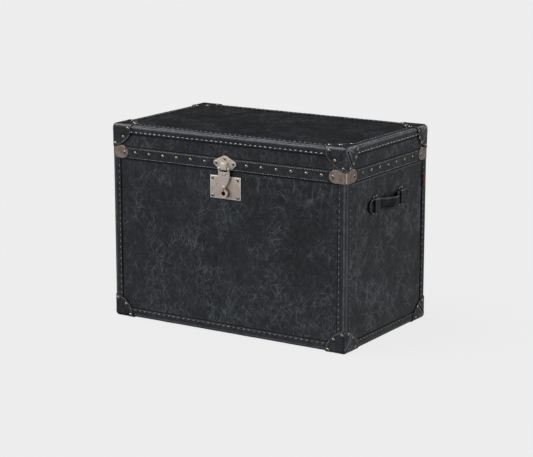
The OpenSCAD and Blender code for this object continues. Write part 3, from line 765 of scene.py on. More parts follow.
def level_edges(z, in_z, leg_side, leg_flat, pitch, seed):
    """The four straight runs of a binding round the trunk at one height, folded over the edge."""
    runs = (
        ((-1, -1), (1, -1), (0, 1, 0)),
        ((1, 1), (-1, 1), (0, -1, 0)),
        ((1, -1), (1, 1), (-1, 0, 0)),
        ((-1, 1), (-1, -1), (1, 0, 0)),
    )
    solids, side_rows, flat_rows = [], [], []
    for k, (a, b, inward) in enumerate(runs):
        start = np.array((a[0] * TRIM_X, a[1] * TRIM_Y, z))
        end = np.array((b[0] * TRIM_X, b[1] * TRIM_Y, z))
        along = (end - start) / np.linalg.norm(end - start)
        solid, rows = edge_binding(start + along * UNDER_CAP, end - along * UNDER_CAP, in_z, inward,
                                   leg_side, leg_flat, TRIM_T, TRIM_EDGE_R, pitch, seed + k)
        solids.append(solid)
        side_rows.append(rows[0])
        flat_rows.append(rows[1])
    return solids, side_rows, flat_rows


def bind_edges():
    """Bindings round the lid's top, round the floor and up the case's corners, and their stitches."""
    flat_leg = TRIM_W - (HALF_D - TRIM_Y)
    solids, side_rows, top_rows = level_edges(TRIM_TOP, (0, 0, -1), TRIM_TOP - BINDING_LOW, flat_leg,
                                              BINDING_PITCH, 31)
    piece("binding_lid_top", solids, binding_hide, "lid", "binding_leather", ("lid_top_binding",))
    sewn = stitches(side_rows[:2], BINDING_PITCH, 5.4 * MM, 1.15 * MM, 41, skip=under_cap)
    sewn += stitches(side_rows[2:], BINDING_PITCH, 7 * MM, 1.35 * MM, 40, skip=under_cap)
    piece("stitches_lid_sides", sewn, pale_thread, "lid", "thread")
    sewn = stitches(top_rows, BINDING_PITCH, 7 * MM, 0.8 * MM, 42, skip=under_cap)
    piece("stitches_lid_top", sewn, grey_thread, "lid", "thread")

    low_leg = BINDING_TOP - TRIM_LOW
    solids, side_rows, low_rows = level_edges(TRIM_LOW, (0, 0, 1), low_leg, low_leg, BINDING_PITCH, 51)
    piece("binding_floor", solids, binding_hide, "case", "binding_leather", ("bottom_binding",))
    rows = side_rows + low_rows
    for sx, sy in CORNERS:
        start = (sx * TRIM_X, sy * TRIM_Y, BINDING_TOP)
        end = (sx * TRIM_X, sy * TRIM_Y, SPLIT - 0.4 * MM)
        node = "corner_trim_" + corner_name(sx, sy)
        solid, found = edge_binding(start, end, (-sx, 0, 0), (0, -sy, 0), flat_leg, flat_leg,
                                    TRIM_T, TRIM_EDGE_R, TRIM_PITCH, 61 + sx + 2 * sy)
        piece("binding_" + node, [solid], binding_hide, "case", "binding_leather", (node,))
        rows = rows + found
    sewn = stitches(rows, TRIM_PITCH, 5.2 * MM, 0.95 * MM, 43, skip=under_cap)
    piece("stitches_case", sewn, dull_thread, "case", "thread")


def corner_gaps(point):
    """How far in a point is from the nearest corner of the trunk, along each axis."""
    return np.array([HALF_W - abs(point[0]), HALF_D - abs(point[1]), min(point[2], TOP - point[2])])


def under_cap(point):
    """Whether a corner cap hides a stitch here."""
    return float(np.linalg.norm(corner_gaps(point))) < 58 * MM


def round_path(half_x, half_y, radius, step):
    """Points and outward directions round a rectangle with rounded corners."""
    points, normals = [], []
    corners = [(1, -1), (1, 1), (-1, 1), (-1, -1)]
    for k, (sx, sy) in enumerate(corners):
        centre = np.array([sx * (half_x - radius), sy * (half_y - radius)])
        for a in np.radians(np.linspace(90 * k - 90, 90 * k, 9)):
            normals.append(np.array([math.cos(a), math.sin(a)]))
            points.append(centre + radius * normals[-1])
        nx, ny = corners[(k + 1) % 4]
        after = np.array([nx * (half_x - radius), ny * (half_y - radius)]) + radius * normals[-1]
        begin, out = points[-1], normals[-1]
        count = int(np.linalg.norm(after - begin) / step)
        for i in range(1, count):
            points.append(begin + (after - begin) * i / count)
            normals.append(out)
    return np.array(points), np.array(normals)


def band():
    """The nailed band round the lid's lower edge, with a fine row of stitches along both its edges."""
    points, normals = round_path(TRIM_X, TRIM_Y, TRIM_EDGE_R, 2.4 * MM)
    tall = BAND_TOP - SPLIT
    inset = 2.6 * MM
    es = strip_profile(tall, (inset, tall - inset))
    lengths = np.concatenate([[0], np.cumsum(np.linalg.norm(np.diff(points, axis=0), axis=1))])
    rings = []
    for p, out, s in zip(points, normals, lengths):
        face = np.column_stack([np.full(len(es), p[0]), np.full(len(es), p[1]), SPLIT + es])
        lift = strip_lift(np.minimum(es, tall - es), s, BAND_PITCH, (inset,)) + 0.15 * MM
        lift += ripple(face, 71, 0.07, 0.25 * MM) - 0.25 * MM - pressed(face)
        outward = np.array([out[0], out[1], 0.0])
        rings.append(np.concatenate([face + np.outer(lift, outward), face[[-1, 0]] - outward * TRIM_T]))
    # painted shade at the band's edges and stitch rows, a painted highlight beside each edge, and painted
    # shade on the back points, which darkens the side walls
    across = strip_painted_light(np.minimum(es, tall - es), (inset,))
    shade = np.tile(np.concatenate([across, [-1, -1]]), len(rings))
    piece("band_lid", [(*tube(rings, True), shade)], binding_hide, "lid", "binding_leather", ("lid_band",))
    long_rows, end_rows = [], []
    for z in (SPLIT + inset, BAND_TOP - inset):
        for side in (-1.0, 1.0):
            start = np.array((-TRIM_X, side * TRIM_Y, z))
            long_rows.append((start, np.array((1.0, 0, 0)), np.array((0, side, 0)), 2 * TRIM_X))
            start = np.array((side * TRIM_X, -TRIM_Y, z))
            end_rows.append((start, np.array((0, 1.0, 0)), np.array((side, 0, 0)), 2 * TRIM_Y))

    def under_clamp(point):
        return max(TRIM_X - abs(point[0]), TRIM_Y - abs(point[1])) < CLAMP_LEG
    sewn = stitches(long_rows, BAND_PITCH, 5.2 * MM, 0.75 * MM, 44, skip=under_clamp)
    sewn += stitches(end_rows, BAND_PITCH, 5.6 * MM, 1.05 * MM, 45, skip=under_clamp)
    piece("stitches_band", sewn, grey_thread, "lid", "thread")


# ---------------------------------------------------------------- corner caps

def curve(x, knots):
    """A smooth curve through (x, y) knots."""
    xs, ys = np.array(knots, float).T
    slopes = np.gradient(ys, xs)
    slopes[0] = slopes[-1] = 0.0
    k = np.clip(np.searchsorted(xs, x) - 1, 0, len(xs) - 2)
    h = xs[k + 1] - xs[k]
    t = (x - xs[k]) / h
    return ((1 + 2 * t) * (1 - t) ** 2 * ys[k] + t * (1 - t) ** 2 * h * slopes[k]
            + t * t * (3 - 2 * t) * ys[k + 1] + t * t * (t - 1) * h * slopes[k + 1])


# How far each lobe reaches from the corner, by the angle from its level edge (front and side)
# or from the front edge (flat), in degrees and mm; and the dart, (in, along the upright) in mm.
TOP_CAP = {
    "front": ((0, 66), (24, 70), (45, 67), (90, 67)),
    "side": ((0, 63), (45, 62), (90, 67)),
    "flat": ((0, 66), (8, 75), (18, 82), (45, 74), (72, 82), (82, 74), (90, 63)),
    "dart": ((3, 9), (34, 61)),
}
BOTTOM_CAP = {
    "front": ((0, 64), (45, 64), (90, 63)),
    "side": ((0, 74), (45, 64), (90, 63)),
    "flat": ((0, 64), (45, 66), (90, 74)),
    "dart": ((3, 7), (38, 45)),
}
CAP_STEP, CAP_WALL = 1.5 * MM, 2.5 * MM


def cap_step(inner):
    """How far a cap sinks where it passes from the bindings on to the thinner skin."""
    return CAP_STEP * smooth_step(inner, TRIM_W - 3 * MM, TRIM_W + 5 * MM)


def off_line(points, a, b):
    """Distance of 2-D points from the segment a-b, and the share of the way along it."""
    way = b - a
    t = np.clip(((points - a) @ way) / (way @ way), 0, 1)
    return np.linalg.norm(points - a - np.outer(t, way), axis=1), t


def dart_and_creases(flat, angles, dart, crease):
    """The height and shade that a cap's sewn dart adds to its side lobe, and the creases that fan
    out from the corner beside it, as deep as crease says. The shade is painted light: painted shade in
    the dart's slit, and painted highlights on its lips, on the creases and on a band along the level edge."""
    away, along = off_line(flat, dart[0], dart[1])
    sewn = smooth_step(along, 0.0, 0.12)
    rise = 0.8 * MM * bump_at(away, 2.9 * MM, 1.4 * MM) - 2.2 * MM * bump_at(away, 0, 1.3 * MM)
    tone = 1.0 * bump_at(away, 3.6 * MM, 1.4 * MM) - 2.2 * bump_at(away, 0, 2.0 * MM)
    far = np.linalg.norm(flat, axis=1)
    fan = np.sin(np.radians(angles) * 17) * smooth_step(angles, 2, 14) * smooth_step(angles, 62, 46)
    brow = bump_at(flat[:, 1], 7 * MM, 6 * MM) * smooth_step(angles, 4, 12)
    brow *= smooth_step(far, 60 * MM, 30 * MM)
    rise = sewn * rise + 0.9 * MM * crease * fan * bump_at(far, 20 * MM, 14 * MM)
    pale = 0.9 * np.maximum(fan, 0) * bump_at(far, 22 * MM, 15 * MM) + 0.4 * brow
    return rise, sewn * tone + crease * pale


def cap_lobe(face, shape, to_world, crease):
    """One of a cap's three lobes: its outer grid, inner grid and rim, as a closed set of quads."""
    knots = shape[face]
    angles = list(np.arange(0, 13, 1.5)) + list(np.arange(16, 76, 4)) + list(np.arange(78, 91, 1.5))
    dart = np.array(shape["dart"]) * MM
    if face == "side":
        ends = np.degrees(np.arctan2(dart[:, 1], dart[:, 0]))
        angles += list(np.arange(ends.min() - 5, ends.max() + 6, 0.7))
    angles = np.array(sorted(set(np.round(angles, 3))))
    shares = np.r_[0, np.linspace(0.03, 0.3, 12), np.linspace(0.33, 0.93, 20), 0.955, 0.975, 0.99, 1.0]
    inner_shares = np.array([1.0, 0.8, 0.55, 0.3, 0.12, 0.0])
    reach = curve(angles, knots) * MM
    ways = np.column_stack([np.cos(np.radians(angles)), np.sin(np.radians(angles))])
    grids, shades = [], []
    for share_list, outer in ((shares, True), (inner_shares, False)):
        for share in share_list:
            flat = ways * (reach * share)[:, None]
            local = np.zeros((len(angles), 3))
            axes = {"front": (0, 2), "side": (1, 2), "flat": (0, 1)}[face]
            local[:, axes[0]], local[:, axes[1]] = flat[:, 0], flat[:, 1]
            inner = flat.min(axis=1)
            if outer:
                rim = reach * (1 - share)
                lift = -cap_step(inner) - 1.0 * MM * np.exp(-(rim / (0.8 * MM)) ** 2)
                lift += 0.35 * MM * bump_at(rim, 2.6 * MM, 1.6 * MM)
                # painted shade: a dark line at the cap's edge; painted highlight: a pale line just inside it
                shade = 0.6 * bump_at(rim, 3.2 * MM, 1.3 * MM) - 1.3 * np.exp(-(rim / (1.4 * MM)) ** 2)
                world = to_world(local)
                lift += ripple(world, 81, 0.03, 0.3 * MM) - 0.3 * MM - pressed(world, 0.8 * MM, 6 * MM)
                if face == "side":
                    rise, tone = dart_and_creases(flat, angles, dart, crease)
                    lift += rise
                    shade += tone
            else:
                # painted shade on the inner grid, which darkens the cap's rim wall
                shade = np.full(len(angles), -1.0)
                lift = -CAP_WALL - 2.2 * MM * smooth_step(inner, TRIM_W - 3 * MM, TRIM_W)
            corner = np.maximum(local, CAP_EDGE_R)
            way = local - corner
            way /= np.linalg.norm(way, axis=1)[:, None]
            grids.append(to_world(corner + way * (CAP_EDGE_R + lift)[:, None]))
            shades.append(np.clip(shade, -1, 1))
    grid = np.array(grids)
    rows, columns = grid.shape[:2]
    faces = [(i * columns + j, i * columns + j + 1, (i + 1) * columns + j + 1, (i + 1) * columns + j)
             for i in range(rows - 1) for j in range(columns - 1)]
    return grid.reshape(-1, 3), faces, shades


def corner_caps():
    """Eight leather caps moulded over the corners, each closed by a dart on the trunk's end."""
    kinds = (("bottom_cap_", "case", BOTTOM_CAP, 0.6), ("top_cap_", "lid", TOP_CAP, 1.0))
    for sx, sy in CORNERS:
        for prefix, body, shape, crease in kinds:
            def to_world(local, sx=sx, sy=sy, body=body):
                z = TOP - local[:, 2] if body == "lid" else local[:, 2]
                return np.column_stack([sx * (HALF_W - local[:, 0]), sy * (HALF_D - local[:, 1]), z])
            lobes = [cap_lobe(face, shape, to_world, crease) for face in ("front", "side", "flat")]
            node = prefix + corner_name(sx, sy)
            piece("moulded_" + node, lobes, cap_hide, body, "cap_leather", (node,), 50, True)


def nails():
    """Every domed nail, sunk a little where it sits on a cap's lower step. Those in the clamps are steel."""
    def in_clamp(nail):
        gaps = sorted((HALF_W - abs(nail[0][0]), HALF_D - abs(nail[0][1])))
        return nail[0][2] < CLAMP_TOP and gaps[1] < CLAMP_LEG
    for node, body in (("case_nails", "case"), ("lid_nails", "lid")):
        seated = []
        for base, out, radius, height in NAILS[node]:
            gaps = np.sort(corner_gaps(base))
            on_cap = np.linalg.norm(gaps) < 84 * MM
            sink = 0.45 * MM + (cap_step(gaps[1]) if on_cap else 0.0)
            seated.append((base - out * sink, out, radius, height))
        NAILS[node] = seated
    dome_nails("domed_case_nails", "case_nails", NAILS["case_nails"], "case", nail_bronze, "nail_metal")
    plain = [nail for nail in NAILS["lid_nails"] if not in_clamp(nail)]
    clamped = [nail for nail in NAILS["lid_nails"] if in_clamp(nail)]
    dome_nails("domed_lid_nails", "lid_nails", plain, "lid", nail_bronze, "nail_metal")
    dome_nails("domed_clamp_nails", "lid_nails", clamped, "lid", dark_steel, "nail_metal")
    for node, body, material, slot in (("lock_nails", "case", dark_steel, "lock_metal"),
                                       ("hasp_plate_nails", "lid", dark_steel, "lock_metal"),
                                       ("handle_rivets", "case", nail_bronze, "nail_metal")):
        dome_nails("domed_" + node, node, NAILS[node], body, material, slot)


# ---------------------------------------------------------------- metalwork

HASP_T = 2.2 * MM


def lowest_first(corners):
    """A face's corners, turned so that every run lists them in the same order."""
    corners = tuple(corners)
    k = corners.index(min(corners))
    return corners[k:] + corners[:k]


def machined(node, name, material, body, slot, bevel, shade=None):
    """The CAD part's own shape as a new piece, with its sharp edges broken by bevel, in mm."""
    work = bmesh.new()
    work.from_mesh(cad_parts[node].data)
    bmesh.ops.remove_doubles(work, verts=work.verts, dist=1e-6)
    bmesh.ops.dissolve_limit(work, angle_limit=math.radians(1), verts=work.verts, edges=work.edges)
    sharp = [e for e in work.edges if len(e.link_faces) == 2 and e.calc_face_angle(0) > math.radians(32)]
    bmesh.ops.bevel(work, geom=sharp, offset=bevel * MM, segments=2, profile=0.6, affect="EDGES",
                    clamp_overlap=True)
    mesh = bpy.data.meshes.new(name)
    bmesh.ops.triangulate(work, faces=[f for f in work.faces if len(f.verts) > 4])
    bmesh.ops.recalc_face_normals(work, faces=work.faces)
    work.to_mesh(mesh)
    work.free()
    points = np.array([v.co[:] for v in mesh.vertices])
    faces = sorted(lowest_first(p.vertices) for p in mesh.polygons)
    bpy.data.meshes.remove(mesh)
    tone = shade(points) if shade else np.zeros(len(points))
    return piece(name, [(points, faces, tone)], material, body, slot, (node,), sharp=30)


def metalwork():
    """Lock, hasp, hinges and pins, with painted shade where they stand on what is behind them, in the keyhole
    and on the hump, and a painted highlight along the lock plate's edges.
    """
    plate_low, plate_high = low("lock_plate"), high("lock_plate")
    axis_z = (low("lock_boss")[2] + high("lock_boss")[2]) / 2
    plug_face = low("key_plug")[1]
    shield_back = high("hasp_hinge_plate")[1]

    # painted highlight along the plate's bevelled edges
    def at_plate_edge(points):
        inside = np.minimum(plate_high[0] - np.abs(points[:, 0]), np.minimum(
            plate_high[2] - points[:, 2], points[:, 2] - plate_low[2]))
        return np.where(inside < 2.2 * MM, 0.9, 0.0)

    # painted shade where a part stands on the plate
    def near_plate(points):
        return np.where(points[:, 1] > plate_low[1] - 1.0 * MM, -1.0, 0.0)

    # painted shade inside the keyhole
    def in_keyhole(points):
        away = np.hypot(points[:, 0], points[:, 2] - axis_z)
        return np.where((away < 6.9 * MM) & (points[:, 1] > plug_face + 0.5 * MM), -1.0, 0.0)

    # painted shade on the knuckle's top, toning down its highlight, and where it stands on the plate
    def on_knuckle(points):
        return np.where(points[:, 2] > low("hasp_pin")[2] + 2.0 * MM, -0.45, near_plate(points))

    # painted shade where the shield stands on the lid, and on the hump's top
    def near_lid(points):
        on_hump = (points[:, 1] < shield_back - 3.0 * MM) & (points[:, 2] > SPLIT + 13 * MM)
        return np.where(points[:, 1] > shield_back - 0.8 * MM, -1.0, np.where(on_hump, -0.45, 0.0))

    machined("lock_plate", "lock_face", lock_plating, "case", "lock_metal", 0.6, at_plate_edge)
    machined("lock_boss", "lock_barrel", lock_plating, "case", "lock_metal", 0.5, near_plate)
    machined("key_plug", "lock_plug", hasp_plating, "key_plug", "lock_metal", 0.25, in_keyhole)
    machined("plug_clip", "lock_clip", pin_metal, "key_plug", "pin_steel", 0.1)
    machined("hasp", "hasp_tongue", hasp_plating, "hasp", "lock_metal", 0.5, on_knuckle)
    machined("hasp_hinge_plate", "hasp_shield", hasp_plating, "lid", "lock_metal", 0.5, near_lid)
    machined("hasp_pin", "hasp_axle", pin_metal, "lid", "pin_steel", 0.2)
    machined("hinge_case_leaves", "hinge_lower", hinge_plating, "case", "hinge_metal", 0.25)
    machined("hinge_lid_leaves", "hinge_upper", hinge_plating, "lid", "hinge_metal", 0.25)
    machined("hinge_case_screws", "screws_lower", pin_metal, "case", "hinge_metal", 0.1)
    machined("hinge_lid_screws", "screws_upper", pin_metal, "lid", "hinge_metal", 0.1)
    machined("hinge_pins", "hinge_axles", pin_metal, "case", "pin_steel", 0.2)


def hasp_fold():
    """The end of the hasp's metal, folded back over its face below the pin, with a half-round end."""
    pin = (low("hasp_pin") + high("hasp_pin")) / 2
    face_y = pin[1] - HASP_T / 2
    radius, centre_z, top_z = 8 * MM, pin[2] - 9.5 * MM, pin[2] - 7.6 * MM
    rings, shade = [], []
    # each layer's height over the face, inset from the outline (both in mm) and shade: -1 is a painted shadow
    # line round the fold, the pale values a painted highlight on its rounded edge
    layers = ((-0.3, -0.9, -1), (0.06, -0.9, -1), (0.06, -0.1, -1),
              (0.6, 0.0, 0.3), (0.9, 0.35, 0.8), (0.95, 1.0, 0))
    turn = np.radians(np.linspace(180, 360, 25))
    for proud, inset, tone in layers:
        r = radius - inset * MM
        outline = [(r * math.cos(a), centre_z + r * math.sin(a)) for a in turn]
        outline += [(r, top_z - inset * MM), (-r, top_z - inset * MM)]
        rings.append(np.array([(x, face_y - proud * MM, z) for x, z in outline]))
        shade += [tone] * len(outline)
    piece("hasp_fold", [(*tube(rings), np.array(shade))], hasp_plating, "hasp", "lock_metal", (), 40)


def clamps():
    """Four bent metal clamps on the lid's lower corners, each leg ending in a half round."""
    thick = CLAMP_X - TRIM_X
    radius = TRIM_EDGE_R + thick
    half = (CLAMP_TOP - SPLIT) / 2
    round_end = [(half * (1 - math.cos(t)), half * math.sin(t)) for t in np.radians(np.linspace(6, 90, 12))]
    along_leg = round_end + [(s, half) for s in np.linspace(half + 2 * MM, CLAMP_LEG - radius, 8)]
    # each station's place in plan, outward way, half height and shade, which is a painted highlight along the
    # bend
    stations = [(np.array([CLAMP_LEG - s, 0.0]), np.array([0.0, -1.0]), h, 0.0) for s, h in along_leg]
    for t in np.radians(np.linspace(9, 81, 9)):
        way = np.array([-math.sin(t), -math.cos(t)])
        stations.append((radius + radius * way, way, half, 0.55 * bump_at(t, math.pi / 4, 0.35)))
    stations += [(np.array([0.0, CLAMP_LEG - s]), np.array([-1.0, 0.0]), h, 0.0)
                 for s, h in reversed(along_leg)]
    solids = []
    for sx, sy in CORNERS:
        rings, tones = [], []
        for place, way, h, rubbed in stations:
            bevel = min(0.4 * MM, h * 0.4)
            section = [(-h, -thick), (-h, -bevel)]
            section += [(x, 0) for x in np.linspace(-h + bevel, h - bevel, 11)]
            section += [(h, -bevel), (h, -thick)]
            spots = [(*(place + way * lift), z) for z, lift in section]
            ring = np.array([(sx * (CLAMP_X - a), sy * (CLAMP_Y - b), SPLIT + half + z) for a, b, z in spots])
            dents = ripple(ring, 91, 0.012, 0.12 * MM) - 0.1 * MM
            dents[[0, -1]] = 0
            outward = np.array([-sx * way[0], -sy * way[1], 0.0])
            rings.append(ring + np.outer(dents, outward))
            # painted shade along both edges of each section; rubbed is the painted highlight along the bend
            tones += [-1.0, -0.35] + [rubbed] * (len(ring) - 4) + [-0.35, -1.0]
        solids.append((*tube(rings), tones))
    piece("clamps", solids, clamp_bronze, "lid", "clamp_metal", ("corner_clamps",), 35)


# ---------------------------------------------------------------- handles

def sweep(path, normals, profile):
    """A closed solid along a path: profile points are (along the normal, across)."""
    path, normals = np.array(path, float), np.array(normals, float)
    ways = np.gradient(path, axis=0)
    ways /= np.linalg.norm(ways, axis=1)[:, None]
    rings = []
    for p, n, w in zip(path, normals, ways):
        across = np.cross(n, w)
        rings.append([p + n * a + across * b for a, b in profile])
    return tube(rings)


def rounded_section(thick, width, radius, crown=0.0, steps=4):
    """A flat strap's section with rounded corners and a crowned outer face, as (up, across) pairs."""
    points = []
    for up, side, first in ((1, 1, 90), (1, -1, 0), (-1, -1, -90), (-1, 1, -180)):
        a = thick / 2 + up * (thick / 2 - radius)
        b = side * (width / 2 - radius)
        points += [(a + radius * math.cos(t), b + radius * math.sin(t))
                   for t in np.radians(np.linspace(first, first - 90, steps))]
        if (up, side) == (1, 1):
            points += [(thick, c) for c in np.linspace(b, -b, 9)[1:-1]]
    return [(a + (crown * (1 - (2 * b / width) ** 2) if a > thick / 2 else 0), b) for a, b in points]


def loop_path(points, radius, steps=5):
    """A polyline with its corners rounded."""
    points = [np.array(p, float) for p in points]
    out = [points[0]]
    for before, at, after in zip(points, points[1:], points[2:]):
        a = at + (before - at) / np.linalg.norm(before - at) * radius
        b = at + (after - at) / np.linalg.norm(after - at) * radius
        for t in np.linspace(0, 1, steps):
            out.append((1 - t) ** 2 * a + 2 * t * (1 - t) * at + t * t * b)
    out.append(points[-1])
    return np.array(out)


STRAP_T, STRAP_W, STRAP_BOW, BOW_HALF = 5.4 * MM, 31.4 * MM, 26 * MM, 58 * MM
TAB_T, TAB_Y, TAB_CUT, TAB_ROUND = 7.2 * MM, 88 * MM, 2 * MM, 2.2 * MM
LOOP_T, LOOP_W, LOOP_Y, LOOP_INSIDE, LOOP_BEND = 2.5 * MM, 24 * MM, 72 * MM, 16.5 * MM, 3.4 * MM
# Painted light round a rounded_section (outer corner, face, outer corner, back): painted highlights on the
# outer corners and painted shade on the back; and down a tab's profile: a painted highlight on its rim and
# painted shade under it.
SECTION_PAINTED_LIGHT = [0.55] * 4 + [0.0] * 7 + [0.55] * 4 + [-1.0] * 8
TAB_PAINTED_LIGHT = [0.0] * 5 + [0.3, 0.6, 0.6, 0.4, 0.0, -0.5] + [-1.0] * 4


def across_path(ways):
    """Unit directions at right angles to each way, in the plane of its first and second part."""
    normals = np.column_stack([ways[:, 1], -ways[:, 0]])
    return normals / np.linalg.norm(normals, axis=1)[:, None]


def strap(near, centre_z):
    """The bowed strap, standing near from the middle of the trunk."""
    ys = np.linspace(-TAB_Y, TAB_Y, 73)
    bow = STRAP_BOW / 2 * (1 + np.cos(math.pi * np.clip(ys / BOW_HALF, -1, 1)))
    path = np.column_stack([near + bow, ys, np.full(len(ys), centre_z)])
    out = across_path(np.gradient(path[:, :2], axis=0))
    normals = np.column_stack([out, np.zeros(len(ys))])
    section = rounded_section(STRAP_T, STRAP_W, 2.2 * MM, 0.6 * MM)
    return (*sweep(path, normals, section), np.tile(SECTION_PAINTED_LIGHT, len(path)))


def tab(near, centre_z, radius, end):
    """The half-round domed tab at one end (1 or -1) of the strap."""
    profile = [(0.3 * MM, TAB_T - 0.5 * MM), (radius * 0.35, TAB_T - 0.8 * MM),
               (radius * 0.62, TAB_T - 1.5 * MM), (radius * 0.76, TAB_T - 2.3 * MM)]
    for a in np.radians([150, 120, 90, 60, 30, 5, -25]):
        profile.append((radius - TAB_ROUND + TAB_ROUND * math.cos(a),
                        TAB_T - 2.6 * MM + TAB_ROUND * math.sin(a)))
    profile += [(radius - 0.7 * MM, TAB_T - 4.6 * MM), (radius - 1.0 * MM, 0.3 * MM),
                (radius - 1.6 * MM, 0.0), (0.3 * MM, 0.0)]
    rings = []
    for reach, up in profile:
        first = -math.asin(min(1.0, TAB_CUT / reach))
        turn = np.linspace(first, math.pi - first, 40)
        ys, zs = end * (TAB_Y + reach * np.sin(turn)), centre_z + reach * np.cos(turn)
        rings.append(np.column_stack([np.full(len(turn), near + up), ys, zs]))
    return (*tube(rings), np.repeat(TAB_PAINTED_LIGHT, len(turn)))


def loop(flat, y, centre_z):
    """A leather loop round the strap, along the path flat in (x, z)."""
    path = np.column_stack([flat[:, 0], np.full(len(flat), y), centre_z + flat[:, 1]])
    out = across_path(np.gradient(flat, axis=0))
    normals = np.column_stack([out[:, 0], np.zeros(len(flat)), out[:, 1]])
    section = rounded_section(LOOP_T - 0.3 * MM, LOOP_W - 0.4 * MM, 0.9 * MM, 0.35 * MM)
    return (*sweep(path, normals, section), np.tile(SECTION_PAINTED_LIGHT, len(path)))


def handle(side, name):
    """A pull handle: a bowed strap with a domed tab at each end, held by two riveted loops."""
    node, loop_node = "handle_strap_" + name, "handle_loops_" + name
    centre_z = (low(node)[2] + high(node)[2]) / 2
    near = min(abs(low(node)[0]), abs(high(node)[0]))
    tab_r = (high(node)[2] - low(node)[2]) / 2
    face, far = sorted((abs(low(loop_node)[0]), abs(high(loop_node)[0])))
    far -= LOOP_T
    wide = (high(loop_node)[2] - low(loop_node)[2]) / 2
    flat = loop_path([(face, -wide), (face, -LOOP_INSIDE), (far, -LOOP_INSIDE),
                      (far, LOOP_INSIDE), (face, LOOP_INSIDE), (face, wide)], LOOP_BEND)
    straps = [strap(near, centre_z), tab(near, centre_z, tab_r, -1), tab(near, centre_z, tab_r, 1)]
    loops = [loop(flat, y, centre_z) for y in (-LOOP_Y, LOOP_Y)]
    for title, body, solids, replaced in (("strap_", name + "_handle", straps, node),
                                          ("loops_", "case", loops, loop_node)):
        mirrored = [(points * (side, 1, 1), faces, shade) for points, faces, shade in solids]
        piece(title + name, mirrored, strap_hide, body, "handle_leather", (replaced,), 45)


def tag():
    """The small folded leather tag let into the right end's rear seam."""
    a, b = low("leather_tag"), high("leather_tag")
    count = 24
    curl = 0.5 * MM * np.sin(np.linspace(0, 7, count))
    path = np.column_stack([a[0] + 0.2 * MM + curl * 0.5, np.full(count, (a[1] + b[1]) / 2),
                            np.linspace(a[2], b[2], count)])
    normals = np.tile([1.0, 0, 0], (count, 1))
    solid = sweep(path, normals, rounded_section(b[0] - a[0], b[1] - a[1], 0.7 * MM, 0.4 * MM))
    piece("tag", [solid], tag_hide, "case", "tag_leather", ("leather_tag",), 45)


# ---------------------------------------------------------------- inside

def lining(name, node, body, open_up, seed):
    """Cotton glued to the inside: a floor (or ceiling) and four walls, cut as one cross."""
    a, b = low(node), high(node)
    thick, step = 1.3 * MM, 12 * MM
    width, depth, tall = b - a
    x, y, z = a + thick
    far_x, far_y, far_z = b - thick
    wide, deep = width - 2 * thick, depth - 2 * thick
    up = (0, 0, 1 if open_up else -1)
    flat_z, wall_z = (z, z) if open_up else (far_z, a[2])
    sheets = [panel((x, y, flat_z), (1, 0, 0), (0, 1, 0), up, wide, deep, thick, step, seed, 0.5 * MM)]
    walls = (((x, y), (1, 0, 0), (0, 1, 0), wide), ((x, far_y), (1, 0, 0), (0, -1, 0), wide),
             ((x, y), (0, 1, 0), (1, 0, 0), deep), ((far_x, y), (0, 1, 0), (-1, 0, 0), deep))
    for k, (start, along, out, length) in enumerate(walls):
        sheets.append(panel((*start, wall_z), along, (0, 0, 1), out, length, tall - thick,
                            thick, step, seed + 3 + 3 * k, 0.4 * MM))
    cloth = piece(name, sheets, ticking, body, "lining_fabric", (node,))


def boards():
    """The plywood box and the rim's tongue keep their CAD shape."""
    for node in ("front_panel", "back_panel", "lid_front_panel", "lid_back_panel"):
        dress(node, ply_y)
    for node in ("left_panel", "right_panel", "lid_left_panel", "lid_right_panel"):
        dress(node, ply_x)
    for node in ("bottom_panel", "lid_top_panel"):
        dress(node, ply_z)
    dress("rim_tongue", beech)


# ---------------------------------------------------------------- studio

def sun(name, direction, strength, angle):
    """A soft distant light shining from a direction."""
    data = bpy.data.lights.new(name, "SUN")
    data.energy = strength
    data.angle = math.radians(angle)
    add_object(name, data).rotation_euler = Vector(direction).to_track_quat("Z", "Y").to_euler()


def sky(ambient, boxes):
    """A dim room with large soft boxes in it: (direction, colour, full and fading radius in degrees)."""
    world = bpy.data.worlds.new("studio_sky")
    world.use_nodes = True
    bpy.context.scene.world = world
    tree = world.node_tree
    place = tree.nodes.new("ShaderNodeTexCoord").outputs["Generated"]
    total = None
    for way, colour, full, fade in boxes:
        facing = tree.nodes.new("ShaderNodeVectorMath")
        facing.operation = "DOT_PRODUCT"
        facing.inputs[1].default_value = Vector(way).normalized()
        tree.links.new(place, facing.inputs[0])
        share = tree.nodes.new("ShaderNodeMapRange")
        share.interpolation_type = "SMOOTHSTEP"
        share.inputs["From Min"].default_value = math.cos(math.radians(fade))
        share.inputs["From Max"].default_value = math.cos(math.radians(full))
        tree.links.new(facing.outputs["Value"], share.inputs["Value"])
        box = tree.nodes.new("ShaderNodeVectorMath")
        box.operation = "SCALE"
        box.inputs[0].default_value = colour
        tree.links.new(share.outputs["Result"], box.inputs["Scale"])
        adding = tree.nodes.new("ShaderNodeVectorMath")
        adding.operation = "ADD"
        adding.inputs[0].default_value = ambient
        if total:
            tree.links.new(total, adding.inputs[0])
        tree.links.new(box.outputs[0], adding.inputs[1])
        total = adding.outputs[0]
    tree.links.new(total, tree.nodes["Background"].inputs[0])


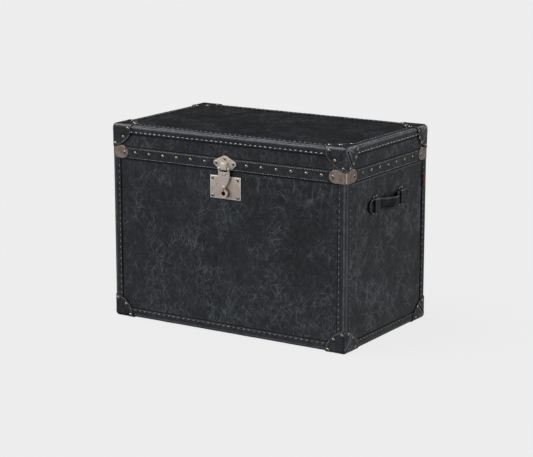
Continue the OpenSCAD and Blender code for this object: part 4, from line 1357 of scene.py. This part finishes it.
def backdrop(paper):
    """The same paper curving up all round, far from the trunk, so that a low view has no horizon.
    Its profile is (radius, height) in metres. It is there for the camera only and blocks no light."""
    profile = ((12, -0.02), (16, 0.1), (20, 0.8), (24, 3), (27, 7), (29, 13), (30, 24))
    steps = 96
    turn = np.linspace(0, 2 * math.pi, steps, endpoint=False)
    ring = np.column_stack([np.cos(turn), np.sin(turn), np.zeros(steps)])
    points = np.concatenate([ring * radius + (0, 0, height) for radius, height in profile])
    faces = []
    for i in range(len(profile) - 1):
        for j in range(steps):
            k, first, second = (j + 1) % steps, i * steps, (i + 1) * steps
            faces.append((first + j, first + k, second + k, second + j))
    mesh = bpy.data.meshes.new("studio_backdrop")
    mesh.from_pydata(points.tolist(), [], faces)
    mesh.polygons.foreach_set("use_smooth", [True] * len(faces))
    mesh.materials.append(paper)
    obj = add_object("studio_backdrop", mesh)
    obj.visible_diffuse = obj.visible_glossy = obj.visible_shadow = False


def studio():
    """A pale seamless floor and backdrop, a dim room with soft boxes, and three soft lights."""
    bpy.ops.mesh.primitive_plane_add(size=400)
    floor = bpy.context.object
    floor.name = "studio_floor"
    floor.location.z = -0.2 * MM
    paper = floor_paper()
    floor.data.materials.append(paper)
    floor.visible_diffuse = False
    floor.visible_glossy = False
    backdrop(paper)
    sky((0.035, 0.035, 0.037), (
        ((-0.5, -0.85, -0.1), (0.42, 0.43, 0.45), 15, 55),
        ((0.7, 0.7, -0.2), (0.36, 0.36, 0.36), 12, 45),
    ))
    sun("key", (-0.5, -0.3, 0.82), 3.3, 58)
    sun("fill", (0.85, -0.4, 0.3), 1.3, 50)
    sun("rim", (0.3, 0.75, 0.6), 0.9, 24)
    bpy.context.scene.view_settings.view_transform = "Standard"


def camera():
    """The viewing angle: from the front right, a little above the lid."""
    data = bpy.data.cameras.new("camera")
    data.lens = 120.8
    data.sensor_width = 36
    data.clip_end = 500
    obj = add_object("camera", data)
    obj.location = (2.596, -4.1145, 1.352)
    obj.rotation_euler = [math.radians(a) for a in (77.264, 0, 32.356)]
    bpy.context.scene.camera = obj


camera()
studio()
boards()
cover_case()
cover_lid()
bind_edges()
band()
corner_caps()
clamps()
nails()
metalwork()
hasp_fold()
handle(1, "right")
handle(-1, "left")
tag()
lining("lining_case", "case_lining", "case", True, 101)
lining("lining_lid", "lid_lining", "lid", False, 131)
